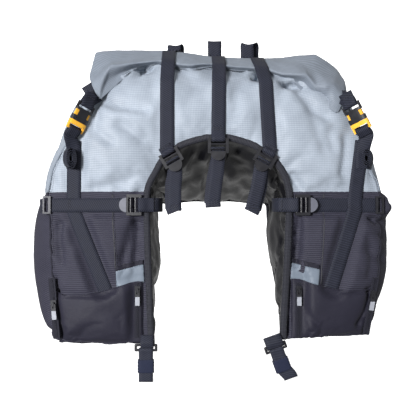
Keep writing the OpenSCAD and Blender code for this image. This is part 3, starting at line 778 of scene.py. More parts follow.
def ribbon_parts(path, across, width, thick):
    """Points, faces and uv of a flat web along a path; its edges are slightly rounded."""
    path = np.asarray(path, float)
    n = len(path)
    across = np.broadcast_to(np.asarray(across, float), (n, 3))
    tangent = unit(np.gradient(path, axis=0))
    across = across - tangent * np.sum(across * tangent, axis=1)[:, None]
    across = unit(across)
    normal = np.cross(tangent, across)
    h, t = width / 2, thick / 2
    upper = [(-h + 0.4, t), (-h * 0.5, t * 0.92), (0, t * 0.92), (h * 0.5, t * 0.92), (h - 0.4, t)]
    profile = [(-h, 0), *upper, (h, 0), *[(a, -b) for a, b in upper[::-1]]]
    along = run_length(path)
    verts, uv = [], []
    for a, b in profile:
        verts.append(path + across * a + normal * b)
        uv.append(np.stack([np.full(n, a), along], axis=1) * MM)
    verts = np.stack(verts, axis=1).reshape(-1, 3)
    uv = np.stack(uv, axis=1).reshape(-1, 2)
    return verts, tube_faces(n, len(profile)), uv


def ribbons(name, runs, look="webbing", slot="webbing", body="bag", nodes=(), width=WEB_W,
            thick=WEB_T):
    """One piece of webbing of one or more runs, each (path, across) or (path, across, width)."""
    verts, faces, uvs, start = [], [], [], 0
    for run in runs:
        v, f, uv = ribbon_parts(run[0], run[1], run[2] if len(run) > 2 else width, thick)
        verts.append(v)
        uvs.append(uv)
        faces += [tuple(k + start for k in face) for face in f]
        start += len(v)
    obj = new_object(name, np.concatenate(verts), faces, np.concatenate(uvs))
    add_piece(obj, look, slot, body, nodes)


STITCH_GAP, STITCH_RADIUS = 1.5, 0.42


def stitches(name, rows, body="bag", slot="webbing", length=2.6):
    """Thread showing as a row of short raised stitches along each (path, normal)."""
    verts, faces = [], []
    for path, normal in rows:
        path = np.asarray(path, float)
        count = max(2, int(run_length(path)[-1] / (length + STITCH_GAP)))
        points = resample(np.hstack([path, np.broadcast_to(normal, path.shape)]), count * 6 + 1)
        for k in range(count):
            a, b, normal = points[6 * k + 1, :3], points[6 * k + 5, :3], points[6 * k + 3, 3:]
            normal = unit(normal)
            d = (b - a) / max(np.linalg.norm(b - a), 1e-6)
            side = np.cross(d, normal)
            base = len(verts)
            for share, size in ((0, 0.35), (0.25, 1), (0.75, 1), (1, 0.35)):
                c, r = a + (b - a) * share, STITCH_RADIUS * size
                verts += [c + side * (p * r) + normal * (q * r)
                          for p, q in ((1, 0), (0, 1), (-1, 0), (0, -0.6))]
            faces += [tuple(base + v for v in face) for face in tube_faces(4, 4)]
    add_piece(new_object(name, verts, faces), "thread", slot, body)


def shown_tree(*objects):
    """One search tree, in millimetres, of several finished objects."""
    verts, faces = [], []
    for obj in objects:
        start = len(verts)
        verts += [v.co / MM for v in obj.data.vertices]
        faces += [tuple(k + start for k in p.vertices) for p in obj.data.polygons]
    return BVHTree.FromPolygons(verts, faces)


cover = shown_tree(flap, bpy.data.objects["crown_shell"])
INWARDS, DOWN = Vector((0, 1, 0)), Vector((0, 0, -1))
# Rays start this far from the middle; the roll's top lies below ROLL_TOP.
FAR, ROLL_TOP = 400, 236


def front_depth(tree, x, z, default=None):
    """Y of the first surface behind (x, z) in the front view."""
    hit = tree.ray_cast(Vector((x, -FAR, z)), INWARDS)[0]
    return default if hit is None else hit.y


def turn(o, a, b):
    return (a[0] - o[0]) * (b[1] - o[1]) - (a[1] - o[1]) * (b[0] - o[0])


def outline(points, order):
    """One side of the convex outline of (y, z) points, taken in the given order."""
    chain = []
    for p in sorted(points, key=order):
        while len(chain) > 1 and turn(chain[-2], chain[-1], p) >= 0:
            chain.pop()
        chain.append(p)
    return chain


def taut_path(line, low):
    """A strap pulled tight from behind the ridge, over the roll and down the crown to a low end."""
    xs, zs = [p[0] for p in line][::-1], [p[1] for p in line][::-1]

    def x_at(z):
        return float(np.interp(z, zs, xs))

    cloud = [(low[1], low[2])]
    for z in np.arange(low[2] + 2, ROLL_TOP, 2.0):
        y = front_depth(cover, x_at(z), z)
        if y is not None:
            cloud.append((y, z))
    for y in np.arange(-110, -54, 3.0):
        hit = cover.ray_cast(Vector((x_at(230), y, FAR)), DOWN)[0]
        if hit is not None:
            cloud.append((hit.y, hit.z))
    front = outline(cloud, lambda q: (q[1], q[0]))
    over = outline(cloud, lambda q: (q[0], q[1]))
    chain = [p for p in over[::-1] if p[0] > front[-1][0]] + front[::-1]
    path = resample(np.array([(x_at(z), y, z) for y, z in chain]), 90)
    tangent = unit(np.gradient(path, axis=0))
    out = np.cross((1, 0, 0), tangent)
    out *= np.sign(-out[:, 1:2] + out[:, 2:3])
    path = path + out * (WEB_T / 2 + 0.5)
    for _ in range(6):
        path[1:-1] = (path[:-2] + 2 * path[1:-1] + path[2:]) / 4
    path[-1] = low
    return path


def turned(points, angle, about=(0, 0, 0)):
    """Points turned about the Y axis by an angle in degrees, as the lean of a buckle, then placed."""
    a = math.radians(angle)
    p = np.asarray(points, float)
    x = p[..., 0] * math.cos(a) + p[..., 2] * math.sin(a)
    z = -p[..., 0] * math.sin(a) + p[..., 2] * math.cos(a)
    return np.stack([x, p[..., 1], z], axis=-1) + np.asarray(about, float)


def arc(y, z, r, start, end, count=12):
    """Points (0, y, z) on a round about (y, z), by angle in degrees."""
    w = np.radians(np.linspace(start, end, count))
    return [(0, y + r * math.cos(k), z + r * math.sin(k)) for k in w]


def fine(points, count=60):
    return resample(smooth(points, 8), count)


# How far the hem at the end of each hanging tail slants, in degrees.
TAIL_SLANT = {LEFT: -20, 0: -9, RIGHT: 12}
TAIL_FALL = [(0.8, -14), (2.4, -32), (3.0, -52), (1.2, -77)]
TAIL_DRIFT = {LEFT: (-2.5, -4, -4.5, -4), RIGHT: (0.3, -2.5, -7.5, -14)}
CENTRE_TAIL = [(-0.5, 1, -20), (-2, 2.5, -40), (-5, 3, -62), (-7.5, 1.5, -84), (-9, -0.5, -101)]
# How far the second layer of a tail shows to one side of the first.
TAIL_BEHIND = {LEFT: -4.5, 0: -4.0, RIGHT: 4.5}
# Where the locks stand, as in the CAD.
LOCK_Y = -143.7
LOCK = {LEFT: (-89, 34, -30), 0: (0, 57, 0), RIGHT: (89, 34, 30)}
BAR_PITCH = 8.5
LOOP_R = 3.5


def bar_loop(flip=1, end=24):
    """A web's end sewn back on itself round a bar at the origin, in the bar's own frame."""
    points = [(0, LOOP_R, 12)] + arc(0, 0, LOOP_R, 0, -180)
    points += [(0, -LOOP_R, 3), (0, LOOP_R - 1.9, 0.6 * end), (0, LOOP_R - 1.9, end)]
    return fine(points, 50) * [1, 1, flip]


def along_x(angle):
    a = math.radians(angle)
    return (math.cos(a), 0, -math.sin(a))


def make_front_strap(side):
    x, z, lean = LOCK[side]
    name = SIDE_NAME[side]
    main = taut_path(STRAP_LINE[side], (x if side == 0 else side * 91, STRAP_Y, z + 6))
    loop = turned(bar_loop(end=24 if side == 0 else 13), lean, (x, LOCK_Y, z))
    ribbons(name + "_front_webbing", [(main, (1, 0, 0)), (loop, along_x(lean), 24.2)],
            nodes=[name + "_front_strap"])
    front = LOCK_Y + LOOP_R - 1.9 - WEB_T / 2 - 0.1
    rows = []
    for k in (17, 20.5) if side == 0 else (8.5, 11):
        row = turned([(-10.5, 0, k), (10.5, 0, k)], lean, (x, front, z))
        rows.append((row, FORWARDS))
    stitches(name + "_front_strap_thread", rows)


def make_tail(side):
    x, z, lean = LOCK[side]
    name = SIDE_NAME[side]
    r = 3.3
    local = arc(0, 0, r, 180, 0) + [(0, r, -7)]
    start = turned([(0, 0, -2 * BAR_PITCH)], lean, (x, 0, z))[0] * [1, 0, 1] + [0, LOCK_Y, 0]
    over = turned(local, lean, start)
    if side == 0:
        rest = np.array([(drift, r + y, z) for drift, y, z in CENTRE_TAIL]) + start
    else:
        knee = turned([(0, r, -14)], lean, start)[0]
        rest = np.array([(drift, y, z) for drift, (y, z) in zip(TAIL_DRIFT[side], TAIL_FALL)]) + knee
    path = fine(list(over) + list(rest), 80)
    n = len(path)
    blend = ease(np.linspace(0, 1, n), 0.1, 0.35)[:, None]
    last = path[-1] - path[-12]
    level = unit(np.cross((0, 1, 0), last))
    level *= np.sign(level[0])
    first = np.array(along_x(lean))
    across = first * (1 - blend) + level * blend
    end = path[-1]
    down = turned(unit(path[-1] - path[-8]), TAIL_SLANT[side])
    slant = np.cross((0, 1, 0), down)
    fold = [end - down * 1.0 + [0, -WEB_T * 0.2, 0], end + down * 1.4 + [0, -WEB_T * 0.6, 0],
            end + down * 0.6 + [0, -WEB_T * 1.3, 0], end - down * 6 + [0, -WEB_T * 1.2, 0],
            end - down * 11 + [0, -WEB_T * 1.15, 0]]
    drift = TAIL_BEHIND[side] * ease(np.linspace(0, 1, n), 0.12, 0.55)
    behind = path + level * drift[:, None] + [0, 5.0, 0] * ease(np.linspace(0, 1, n), 0.1, 0.4)[:, None]
    ribbons(name + "_tail_webbing", [(path, across), (behind[22:-3], across[22:-3]),
                                     (fine(fold, 26), slant, WEB_W + 2.4)],
            body=name + "_tail_body", nodes=[name + "_strap_tail"])
    mark = end - down * 7 + [0, -WEB_T * 1.7, 0]
    first_row = np.array([mark - slant * 10, mark + slant * 10])
    stitches(name + "_tail_thread", [(first_row, FORWARDS), (first_row + down * 3.6, FORWARDS)],
             body=name + "_tail_body")


for side in (LEFT, 0, RIGHT):
    make_front_strap(side)
    make_tail(side)


def make_top_loop(name, front_x, back_x, top):
    """A loop of webbing that stands up behind the ridge of the roll."""
    base = cover.ray_cast(Vector((front_x, -66, FAR)), DOWN)[0]
    low = base.z if base else 222
    mid = (front_x + back_x) / 2
    path = [(front_x, -80, low + 1.0), (front_x, -72, low + 1.6), (front_x, -66.5, low + 4),
            (front_x, -65, (low + top) / 2), (front_x, -63, top - 2.5), (mid, -58, top),
            (back_x, -53, top - 2.5), (back_x, -51, (low + top) / 2), (back_x, -50, low - 2),
            (back_x, -47, low - 20)]
    ribbons(name + "_top_webbing", [(fine(path, 70), (1, 0, 0))], nodes=[name + "_top_loop"])


make_top_loop("left", -80, -73.5, 246)
make_top_loop("centre", -3.5, -1.5, 254)
make_top_loop("right", 59, 70, 248)


# ---------------------------------------------------------------- leg bands and side straps

BAND_EDGE = {LEFT: 303, RIGHT: 289}


def make_leg_band(side):
    """The band, from inside the arch through its lock and along the front to the leg's outer face."""
    name = SIDE_NAME[side]
    y = OVER_Y if side == LEFT else UNDER_Y
    lock_y = FRONT_Y - 10
    inner = [(113, -66), (109, -84), (101, -104), (101.5, -122), (107, -136), (117, -141.2),
             (128, -143.6)]
    bar_x, r = 138, 3.4
    loop = [(134.5, lock_y + r)]
    loop += [(bar_x + r * math.sin(w), lock_y + r * math.cos(w))
             for w in np.radians([20, 60, 90, 130, 160, 180])]
    loop += [(132, lock_y - 2.6), (124, -144.6), (114, -143.2)]
    edge = BAND_EDGE[side]
    outer = [(bar_x + 2 * BAR_PITCH + 3, lock_y + 3.2), (168, -140.6), (182, y - 0.4), (230, y),
             (edge - 14, y)]
    wrap = [(edge - 4, y + 0.6), (edge + 5, y + 6), (edge + 14, y + 17), (edge + 22, y + 36),
            (edge + 27, y + 58), (edge + 28.5, y + 84)]
    z = BAND_Z

    def at(points, drift=0.0):
        return fine([(side * x, depth, z + drift * k) for k, (x, depth) in enumerate(points)], 60)

    runs = [(at(inner), (0, 0, 1)), (at(loop), (0, 0, 1)), (at(outer + wrap, -0.15), (0, 0, 1))]
    ribbons(name + "_band_webbing", runs, nodes=[name + "_leg_band"])
    lines = []
    for x in (edge - 40, edge - 37, 112, 118):
        depth = (y if x > 130 else -142.6) - WEB_T / 2 - 0.1
        lines.append(([(side * x, depth, z - 10), (side * x, depth, z + 10)], FORWARDS))
    stitches(name + "_band_thread", lines)


def make_side_strap(side):
    name = SIDE_NAME[side]
    y = UNDER_Y if side == LEFT else OVER_Y
    path = fine([(x, y, z) for x, z in SIDE_LINE[side]], 80)
    across = np.cross(np.gradient(path, axis=0), (0, 1, 0))
    ribbons(name + "_side_webbing", [(path, across)], nodes=[name + "_side_strap"])


# The side-release buckles, as in the CAD: where clip and socket meet, and how each buckle stands.
BUCKLE_AT = (246, -143.1 - 13.5 * math.sin(math.radians(40)), 87)
BUCKLE_TILT, BUCKLE_TURN = 27, 40
SOCKET_BAR, CLIP_BAR = 32, -15
STUB_TOP = {LEFT: 157, RIGHT: 143}


def on_buckle(side, points):
    """Points in a buckle's own frame, whose Z runs up its length, put in place on the bag."""
    a = math.radians(BUCKLE_TURN)
    p = np.asarray(points, float)
    x = p[..., 0] * math.cos(a) + p[..., 1] * math.sin(a)
    y = -p[..., 0] * math.sin(a) + p[..., 1] * math.cos(a)
    out = turned(np.stack([x, y, p[..., 2]], axis=-1), -BUCKLE_TILT, BUCKLE_AT)
    return out * [side, 1, 1]


def buckle_across(side):
    ends = on_buckle(side, [(0, 0, 0), (1, 0, 0)])
    return ends[1] - ends[0]


def make_roll_tab(side):
    """Webbing from under the end of the roll to the buckle's socket, and the stub of its other end."""
    name = SIDE_NAME[side]
    across = buckle_across(side)
    up = [on_buckle(side, (0, LOOP_R - 1.6, SOCKET_BAR + k)) for k in (5, 9)]
    up += [(side * 222, -137, 132), (side * 216, -122, 139), (side * 210, -108, 146)]
    top = STUB_TOP[side]
    stub = [(side * 222, -119, top - 21), (side * 230, -121, top - 11), (side * 237, -123, top)]
    ribbons(name + "_tab_webbing",
            [(on_buckle(side, bar_loop() + [0, 0, SOCKET_BAR]), across),
             (fine(up, 30), across),
             (fine(stub, 20), (side * 0.8, 0, -0.6), 20)], nodes=[name + "_roll_tab"])
    row = on_buckle(side, [(x, LOOP_R - 3.2, SOCKET_BAR + 16) for x in (-10.5, 10.5)])
    stitches(name + "_tab_thread", [(row, np.cross(across, (0, 0, side)))])


# The spare webbing's roll: turns, how far it faces the front in degrees, radii and squeeze.
ROLL_TURNS = 3.5
ROLL_YAW = {LEFT: 62, RIGHT: 66}
ROLL_R = {0: 2.4, LEFT: 9.6, RIGHT: 8.6}
ROLL_TALL = 1.95


def make_strap_roll(side):
    """The spare end of the side strap, rolled up below the clip and tucked in an elastic loop."""
    name = SIDE_NAME[side]
    loop = on_buckle(side, bar_loop(-1)[:38] + [0, 0, CLIP_BAR])
    centre = np.array([side * 262, -149.0, 23])
    fall = list(on_buckle(side, [(0, LOOP_R, CLIP_BAR + k) for k in (6, -5, -13)]))
    fall += [(side * 257, -141.5, 44), (side * 257, -139.4, 30), (side * 257, -138.9, 5)]
    fall = fine(fall, 50)
    blend = ease(np.linspace(0, 1, 50), 0.3, 0.75)[:, None]
    across = buckle_across(side) * (1 - blend) + np.array((side, 0, 0)) * blend
    yaw = math.radians(ROLL_YAW[side])
    axis = np.array([-side * math.cos(yaw), -math.sin(yaw), 0])
    out = np.cross(axis, (0, 0, 1))
    spiral = []
    for k in range(140):
        share = k / 139
        w = 2 * math.pi * ROLL_TURNS * share + 1.2
        r = ROLL_R[0] + share * (ROLL_R[side] - ROLL_R[0])
        rise = np.array([0, 0, 1]) * (r * ROLL_TALL * math.sin(w))
        spiral.append(centre + out * (r * math.cos(w)) + rise)
    ribbons(name + "_rolled_webbing",
            [(loop, buckle_across(side)), (fall, across), (np.array(spiral), axis, 22.0)],
            body=name + "_clip_body", nodes=[name + "_strap_roll"])


for side in (LEFT, RIGHT):
    make_leg_band(side)
    make_side_strap(side)
    make_roll_tab(side)
    make_strap_roll(side)


# ---------------------------------------------------------------- bottom loops

RING = {LEFT: (-128, 0), RIGHT: (100, -20)}
RING_Y, RING_H = -142.6, 9.0
# Each anchor's offset along its ring and its width: the left one stays clear of the zip's pull.
ANCHOR = {LEFT: (2.0, 23.0), RIGHT: (0.0, 31.0)}
RING_TOP = -316.0 + RING_H


def on_ring(side, points):
    """Points given from the middle of a ring's lower wire."""
    x, lean = RING[side]
    return turned(np.asarray(points, float) - [0, 0, RING_H], lean, (x, RING_Y, RING_TOP))


def make_bottom_strap(side):
    name = SIDE_NAME[side]
    r, length = 3.7, 53
    half = 2.0
    loop = [(0, -half, -length * 0.6), (0, -half - 0.2, -30), (0, -half - 0.6, -10)]
    loop += arc(0, 0, r, 200, -20)
    loop += [(0, half + 0.4, -10), (0, half, -30), (0, half, -length * 0.6), (0, 2.6, -length + 9),
             (0, 2.9, -length + 2)]
    loop += arc(0, -length + 0.2, 2.8, 0, -180, 6)
    loop += [(0, -2.9, -length + 6), (0, -half, -length * 0.6)]
    path = fine(loop, 120)
    if side == RIGHT:
        path[:, 0] += 7 * ease(-path[:, 2], 32, length)
    lean = RING[side][1]
    ribbons(name + "_hanging_webbing", [(on_ring(side, path), along_x(lean))], look="loop_webbing",
            body=name + "_hanging_body", nodes=[name + "_bottom_strap"])
    anchor = [(0, 7, 24), (0, 5.4, 15)] + arc(0, RING_H, 5.2, 0, -180, 8) + [(0, -5.4, 15), (0, 1, 26)]
    offset, wide = ANCHOR[side]
    anchor = on_ring(side, fine(anchor, 40) + [offset, 0, 0])
    ribbons(name + "_ring_anchor", [(anchor, along_x(lean), wide)])


def make_keeper(side):
    """An elastic sleeve: a flattened tube that grips the hanging loop."""
    name = SIDE_NAME[side]
    drop, high = 28, 23
    rows = []
    for k, z in enumerate(np.linspace(-high / 2, high / 2, 15)):
        w = np.linspace(0, 2 * math.pi, 40, endpoint=False)
        swell = 1 + 0.02 * math.sin(k * 1.9)
        edge = 0.35 if k in (0, 14) else 0
        x = (WEB_W / 2 + 2.0 - edge) * swell * np.sign(np.cos(w)) * np.abs(np.cos(w)) ** 0.35
        y = (5.2 - edge) * np.sign(np.sin(w)) * np.abs(np.sin(w)) ** 0.6
        rows.append(np.stack([x, y, np.full(40, z - drop)], axis=1))
    outer = np.stack(rows)
    inner = outer * [0.9, 0.72, 1]
    sections = np.concatenate([outer, inner[::-1]])
    shape = sections.shape
    flat = on_ring(side, sections.reshape(-1, 3))
    faces = grid_faces(shape[0], shape[1], close_rows=True, close_cols=True)
    uv = np.stack([sections[..., 0].ravel(), sections[..., 2].ravel()], axis=1) * MM
    add_piece(new_object(name + "_elastic_keeper", flat, faces, uv), "elastic", "elastic",
              name + "_keeper_body", [name + "_keeper"])


for side in (LEFT, RIGHT):
    make_bottom_strap(side)
    make_keeper(side)


# ---------------------------------------------------------------- edge binding

TAPE_W = 9.5


def make_binding(name, line, facing, nodes=()):
    """Folded tape round an edge of the arch, one leaf on the vinyl and one on the panel."""
    line = resample(line, 260)
    out = unit(np.cross(unit(np.gradient(line, axis=0)), (0, 1, 0)))
    out *= np.sign(np.sum(out * (line - [0, 0, -150]), axis=1))[:, None]
    profile = [(-1.7, 9), (-2.3, 3), (-2.2, -1.5), (-0.6, -4.1), (2.5, -5.0), (TAPE_W - 2, -4.6),
               (TAPE_W, -3.0), (TAPE_W, -0.5), (2, 0.5), (1.2, 9)]
    rows = []
    for k in range(len(line)):
        ripple = 0.25 * math.sin(k * 1.7) + 0.2 * math.sin(k * 0.53 + 1)
        rows.append([line[k] + out[k] * a + np.array([0, facing * (b + (ripple if b < -2 else 0)), 0])
                     for a, b in profile])
    sections = np.array(rows)
    around = np.linspace(0, 26, len(profile))
    uv = np.stack(np.broadcast_arrays(around[None, :], run_length(line)[:, None]), axis=-1)
    add_piece(closed_tube(name, sections, uv.reshape(-1, 2) * MM), "binding", "binding", nodes=nodes)
    seam = line + out * (TAPE_W - 2.2) + [0, -facing * 4.9, 0]
    stitches(name + "_thread", [(seam, (0, -facing, 0))], slot="binding")


make_binding("front_edge_tape", rail(ARCH_FRONT), 1, ["front_edge_binding"])
make_binding("rear_edge_tape", rail(ARCH_REAR), -1)


# ---------------------------------------------------------------- pockets, patches and zips

POCKET_TOP = {LEFT: [(-300, -211), (-292, -213.5), (-273, -219), (-243, -218), (-211, -214),
                     (-182, -206), (-159, -198), (-144, -195), (-132, -196)],
              RIGHT: [(126, -190), (144, -191), (176, -201.5), (200, -207), (223, -211.5), (251, -211.5),
                      (265, -209), (284, -203)]}
# The pockets' outer edges at the top, below the middle and at the foot.
POCKET_EDGE = {LEFT: (-293, -291, -281), RIGHT: (280, 274, 256)}
PATCH = {LEFT: [(-181, -176), (-133, -165), (-131, -196), (-180, -205)],
         RIGHT: [(131, -162), (179, -173), (176, -201), (129, -190)]}
PATCH_HEM = 8.5


def skin_y(x, z):
    return front_depth(skin, x, z, FRONT_Y)


def front_sheet(name, outline_fn, columns, rows_n, lift, look, slot, nodes=(), puff=0.0, seed=0.0):
    """A sheet laid on the front of the bag: outline_fn(u, v) gives (x, z), lift its height."""
    us, vs = np.linspace(0, 1, columns), np.linspace(0, 1, rows_n)
    verts, uv = [], []
    for v in vs:
        for u in us:
            x, z = outline_fn(u, v)
            y = skin_y(x, z)
            rim = min(1.0, min(u, 1 - u) / 0.07)
            foot = min(1.0, (1 - v) / 0.08)
            swell = math.sin(math.pi * u) * math.sin(math.pi * min(1, v * 0.9 + 0.1))
            rise = lift * (0.25 + 0.75 * min(rim, foot)) + puff * swell
            verts.append((x, y - rise, z))
            uv.append((x * MM, z * MM))
    verts = np.array(verts)
    verts[:, 1] += fold_noise(verts, 38, seed) * puff * 0.5
    under_zip = 1 - ease(np.abs(np.abs(verts[:, 0]) - INNER_ZIP_X), 6, 14)
    verts[:, 1] += (np.maximum(verts[:, 1], INNER_ZIP_BACK) - verts[:, 1]) * under_zip
    obj = new_object(name, verts, grid_faces(rows_n, columns), np.array(uv))
    modifier(obj, "SOLIDIFY", True, thickness=0.0012, offset=-1)
    add_piece(obj, look, slot, nodes=nodes)


def pocket_outline(side):
    top = POCKET_TOP[side]
    xs, zs = [p[0] for p in top], [p[1] for p in top]

    def place(u, v):
        wide = np.interp(v, [0, 0.45, 1], POCKET_EDGE[side])
        x = wide + (-134 - wide) * u if side == LEFT else 131 + (wide - 131) * u
        high = np.interp(x, xs, zs)
        low = -304 if side == LEFT else np.interp(x, [120, 256], [-297, -290])
        return x, high + (low - high) * v

    return place


def make_pocket(side):
    name = SIDE_NAME[side]
    place = pocket_outline(side)
    front_sheet(name + "_pocket_panel", place, 60, 44, 3.0, "pocket", "pocket_fabric",
                [name + "_pocket"], puff=3.0, seed=5.0 + side)
    top = [place(u, 0) for u in np.linspace(0.01, 0.99, 60)]
    hem = np.array([(x, skin_y(x, z) - 3.2, z - 0.6) for x, z in top])
    cord = [(0, 1.5 * math.cos(w), 1.3 * math.sin(w))
            for w in np.linspace(0, 2 * math.pi, 8, endpoint=False)]
    edge = closed_tube(name + "_pocket_hem", hem[:, None] + np.array(cord))
    add_piece(edge, "pocket", "pocket_fabric")
    stitches(name + "_pocket_thread", [(hem + [0, -0.9, -5.5], FORWARDS)], slot="pocket_fabric",
             length=2.2)


def make_patch(side):
    name = SIDE_NAME[side]
    a, b, c, d = [np.array(p, float) for p in PATCH[side]]

    def place(u, v):
        return (a * (1 - u) + b * u) * (1 - v) + (d * (1 - u) + c * u) * v

    front_sheet(name + "_patch", place, 24, 14, 1.6, "reflective", "reflective", [name + "_reflector"])

    def above(u, v):
        return a * (1 - u) + b * u + [0, PATCH_HEM * (1 - v)]

    front_sheet(name + "_patch_hem", above, 24, 6, 1.9, "hem", "leg_nylon")
    rows = []
    for p, q in ((a, b), (d, c)):
        line = [p * (1 - t) + q * t for t in np.linspace(0.03, 0.97, 12)]
        line = [(x, skin_y(x, z) - 2.2, z - 1.5 if p is a else z + 1.5) for x, z in line]
        rows.append((line, FORWARDS))
    stitches(name + "_patch_thread", rows, slot="reflective", length=2.0)


# Each zip's top (x, z), its lean in degrees and its length.
ZIP_PLACE = {"left_outer": (-296, -189, -5, 108), "right_outer": (280, -189, 10, 101),
             "left_inner": (-INNER_ZIP_X, -198, 0, 98), "right_inner": (INNER_ZIP_X, -198, 0, 98)}
ZIP_Y = -138.4


def make_zip(name):
    """Zip tapes with a raised coil of teeth down the middle."""
    x, top, lean, length = ZIP_PLACE[name]

    verts, faces = [], []

    def add(points, new_faces):
        start = len(verts)
        verts.extend(points)
        faces.extend(tuple(k + start for k in f) for f in new_faces)

    for side in (LEFT, RIGHT):
        path = np.array([(side * 3.7, -0.5, -z) for z in np.linspace(0, length, 30)])
        v, f, _ = ribbon_parts(path, (1, 0, 0), 4.6, 0.9)
        add(v, f)
    tooth = 1.7
    for k in range(int(length / tooth)):
        for side in (LEFT, RIGHT):
            z = -k * tooth - (0.85 if side > 0 else 0)
            box = []
            for dy in (-0.4, -2.1):
                for dx, dz in ((2.4, 0.5), (-0.4, 0.62), (-0.4, -0.62), (2.4, -0.5)):
                    shrink = 0.8 if dy < -1 else 1
                    box.append((side * (0.2 + dx * shrink * 0.95), dy, z + dz * shrink))
            add(box, [(0, 1, 2, 3), (7, 6, 5, 4), (0, 4, 5, 1), (1, 5, 6, 2), (2, 6, 7, 3),
                      (3, 7, 4, 0)])
    verts = np.array(verts)
    obj = new_object(name + "_zip_chain", turned(verts, lean, (x, ZIP_Y, top)), faces,
                     verts[:, [0, 2]] * MM, shade=False)
    add_piece(obj, "zip", "zip_tape", nodes=[name + "_zip"])


# Upright seams on the legs: (x, z) lines.
LEG_SEAM = {LEFT: [(-188, -40), (-187, -80), (-183, -140), (-182, -172)],
            RIGHT: [(188, -40), (187, -75), (184, -140), (181, -200)]}


def make_leg_seam(side):
    """A thin raised welt with a row of stitches beside it."""
    name = SIDE_NAME[side]
    line = smooth([(x, 0, z) for x, z in LEG_SEAM[side]], 12)
    line[:, 1] = [skin_y(x, z) - 0.5 for x, _, z in line]
    ribbons(name + "_panel_seam", [(line, (1, 0, 0))], look="thread", slot="leg_nylon", width=1.8,
            thick=1.4)
    beside = line + [side * -3.2, 0.1, 0]
    stitches(name + "_panel_seam_thread", [(beside, FORWARDS)], slot="leg_nylon")


def make_welt(name, column, low, high, look, slot):
    """A raised, stitched welt along one column of the skin, between two of its rows."""
    at = np.arange(low, high + 1) * body.cols + column
    line = smooth(resample(skin_points[at], len(at) // 2), 3)
    nearest = [int(np.argmin(np.linalg.norm(skin_points[at] - p, axis=1))) for p in line]
    out = skin_normals[at][nearest]
    across = unit(np.cross(np.gradient(line, axis=0), out))
    ribbons(name, [(line + out * 0.5, across)], look=look, slot=slot, width=3.4, thick=2.2)
    stitches(name + "_thread", [(line + across * 5 + out * 0.3, out)], slot=slot)


skin_normals = mesh_normals(skin_points, body.faces)
for place, column in (("front", FRONT_N), ("rear", REAR_COLUMN)):
    for part, low, high, look, slot in (("left_leg_", 0, LOW_ROW, "hem", "leg_nylon"),
                                        ("crown_", LOW_ROW, HIGH_ROW, "roll", "crown_fabric"),
                                        ("right_leg_", HIGH_ROW, body.rows - 1, "hem", "leg_nylon")):
        make_welt(part + place + "_welt", column, low, high, look, slot)
for side in (LEFT, RIGHT):
    make_pocket(side)
    make_patch(side)
    make_leg_seam(side)
for name in ZIP_PLACE:
    make_zip(name)


# ---------------------------------------------------------------- hard parts from the CAD

HARD = {"black_plastic": [n for n in NODES if n.endswith(("_front_lock", "_socket"))],
        "yellow_plastic": [n for n in NODES if n.endswith("_clip")],
        "dark_metal": [n for n in NODES if n.endswith(("_hook", "_rings", "_slider"))]}
PULLS = [n for n in NODES if n.endswith("_pull")]
BAND_LOCKS = [n for n in NODES if n.endswith("_band_lock")]
TAB_REACH = 0.0125


def dress(name, look, width):
    """A material on a CAD part, and a bevel that rounds its edges for the eye."""
    obj = NODES[name]
    finish_with(obj, look)
    modifier(obj, "BEVEL", False, width=width, segments=3, limit_method="ANGLE", angle_limit=0.6)


def band_lock_material(name):
    """Black plastic whose half-round tab, at the outer end, is grey."""
    mat, tree, bsdf = shader(name, (0.016, 0.016, 0.021), 0.36)
    obj = object_coordinates(tree)
    across = math_node(tree, "ABSOLUTE", node(tree, "ShaderNodeSeparateXYZ", {0: obj}).outputs[0])
    outer = max(abs(corner.x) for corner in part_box(name))
    tab = math_node(tree, "GREATER_THAN", across, outer - TAB_REACH)
    drift = noise(tree, obj, 90.0, 4.0)
    black = mix(tree, drift, (0.004, 0.004, 0.006), (0.016, 0.016, 0.021))
    grey = mix(tree, drift, (0.075, 0.078, 0.10), (0.13, 0.135, 0.165))
    tree.links.new(mix(tree, tab, black, grey), bsdf.inputs["Base Color"])
    fine_grain(tree, bsdf, obj)
    return mat


def pull_material(name):
    """A dark pull whose lower plate is pale: the colour changes at a height on this pull."""
    mat, tree, bsdf = shader(name, (0.8, 0.82, 0.86), 0.4)
    obj = object_coordinates(tree)
    height = node(tree, "ShaderNodeSeparateXYZ", {0: obj}).outputs[2]
    low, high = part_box(name)
    pale_to = low.z + 0.55 * (high.z - low.z)
    above = math_node(tree, "GREATER_THAN", height, pale_to)
    drift = noise(tree, obj, 160.0, 3.0)
    plate = mix(tree, drift, (0.19, 0.20, 0.235), (0.38, 0.395, 0.44))
    tree.links.new(mix(tree, above, plate, (0.012, 0.012, 0.016)), bsdf.inputs["Base Color"])
    fine_grain(tree, bsdf, obj)
    return mat


for look, names in HARD.items():
    for name in names:
        dress(name, look, 0.0006)
for name in PULLS:
    MATERIALS[name] = pull_material(name)
    dress(name, name, 0.0004)
for name in BAND_LOCKS:
    MATERIALS[name] = band_lock_material(name)
    dress(name, name, 0.0006)


# ---------------------------------------------------------------- floor, light and camera

def area_light(name, place, target, size, power):
    light = bpy.data.lights.new(name, "AREA")
    light.shape, light.size, light.energy = "DISK", size, power
    obj = bpy.data.objects.new(name, light)
    obj.location = place
    obj.rotation_euler = (Vector(target) - Vector(place)).to_track_quat("-Z", "Y").to_euler()
    bpy.context.scene.collection.objects.link(obj)
    return obj


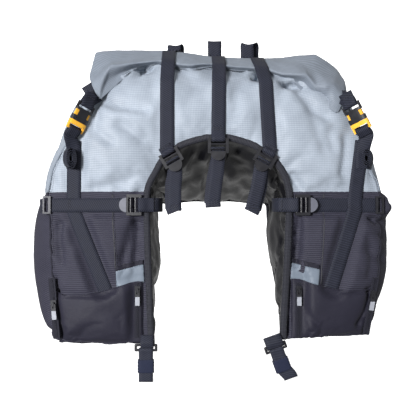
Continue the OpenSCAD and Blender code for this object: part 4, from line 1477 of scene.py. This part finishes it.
def make_stage():
    floor_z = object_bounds()[0].z - 0.006
    reach, rise, bend = 9.0, 8.0, 1.6
    profile = [(-reach, 0)] + [(reach - bend + bend * math.sin(a), bend - bend * math.cos(a))
                               for a in np.linspace(0, math.pi / 2, 12)] + [(reach, rise)]
    verts = [(x / MM, y / MM, (floor_z + z) / MM) for x in (-reach, reach) for y, z in profile]
    floor = new_object("studio_floor", verts, grid_faces(2, len(profile)))
    white = shader("studio_floor", (0.86, 0.86, 0.86), 0.9, Emission_Color=(1, 1, 1, 1),
                   Emission_Strength=0.7)[0]
    floor.data.materials.append(white)
    floor.visible_diffuse = floor.visible_glossy = False
    floor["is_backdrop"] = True
    world = bpy.data.worlds.new("studio")
    bpy.context.scene.world = world
    world.use_nodes = True
    tree = world.node_tree
    seen = tree.nodes.new("ShaderNodeLightPath").outputs["Is Camera Ray"]
    glow = math_node(tree, "MULTIPLY_ADD", seen, 0.7, 0.3)
    tree.nodes["Background"].inputs[0].default_value = (1, 1, 1, 1)
    tree.links.new(glow, tree.nodes["Background"].inputs[1])
    area_light("key_light", (-1.5, -2.6, 0.35), (-0.15, 0, -0.02), 0.8, 150)
    area_light("fill_light", (2.2, -2.0, 0.6), (0, 0, -0.05), 1.6, 8)
    area_light("top_light", (0.2, -0.2, 2.3), (0, 0, 0), 1.4, 9)
    area_light("sheen_light", (0, 0.42, floor_z + 0.03), (0, 0.1, 0.1), 0.5, 0.15).visible_camera = False
    area_light("back_light", (0.5, 2.6, 1.0), (0, 0, 0), 1.5, 30)
    area_light("backdrop_light", (0, 3.5, 2.6), (0, 9.0, 1.4), 4.0, 420)


def make_camera():
    data = bpy.data.cameras.new("camera")
    data.lens, data.sensor_width = 50, 36
    data.shift_x, data.shift_y = 0.0524, 0.0179
    camera = bpy.data.objects.new("camera", data)
    camera.location = (-0.0536, -1.175, -0.068)
    camera.rotation_euler = (math.radians(90), 0, 0)
    bpy.context.scene.collection.objects.link(camera)
    bpy.context.scene.camera = camera


make_stage()
make_camera()
bpy.context.scene.view_settings.view_transform = "Standard"

low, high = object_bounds()
{"cad": [list(CAD_BOX[0]), list(CAD_BOX[1])], "visual": [list(low), list(high)]}
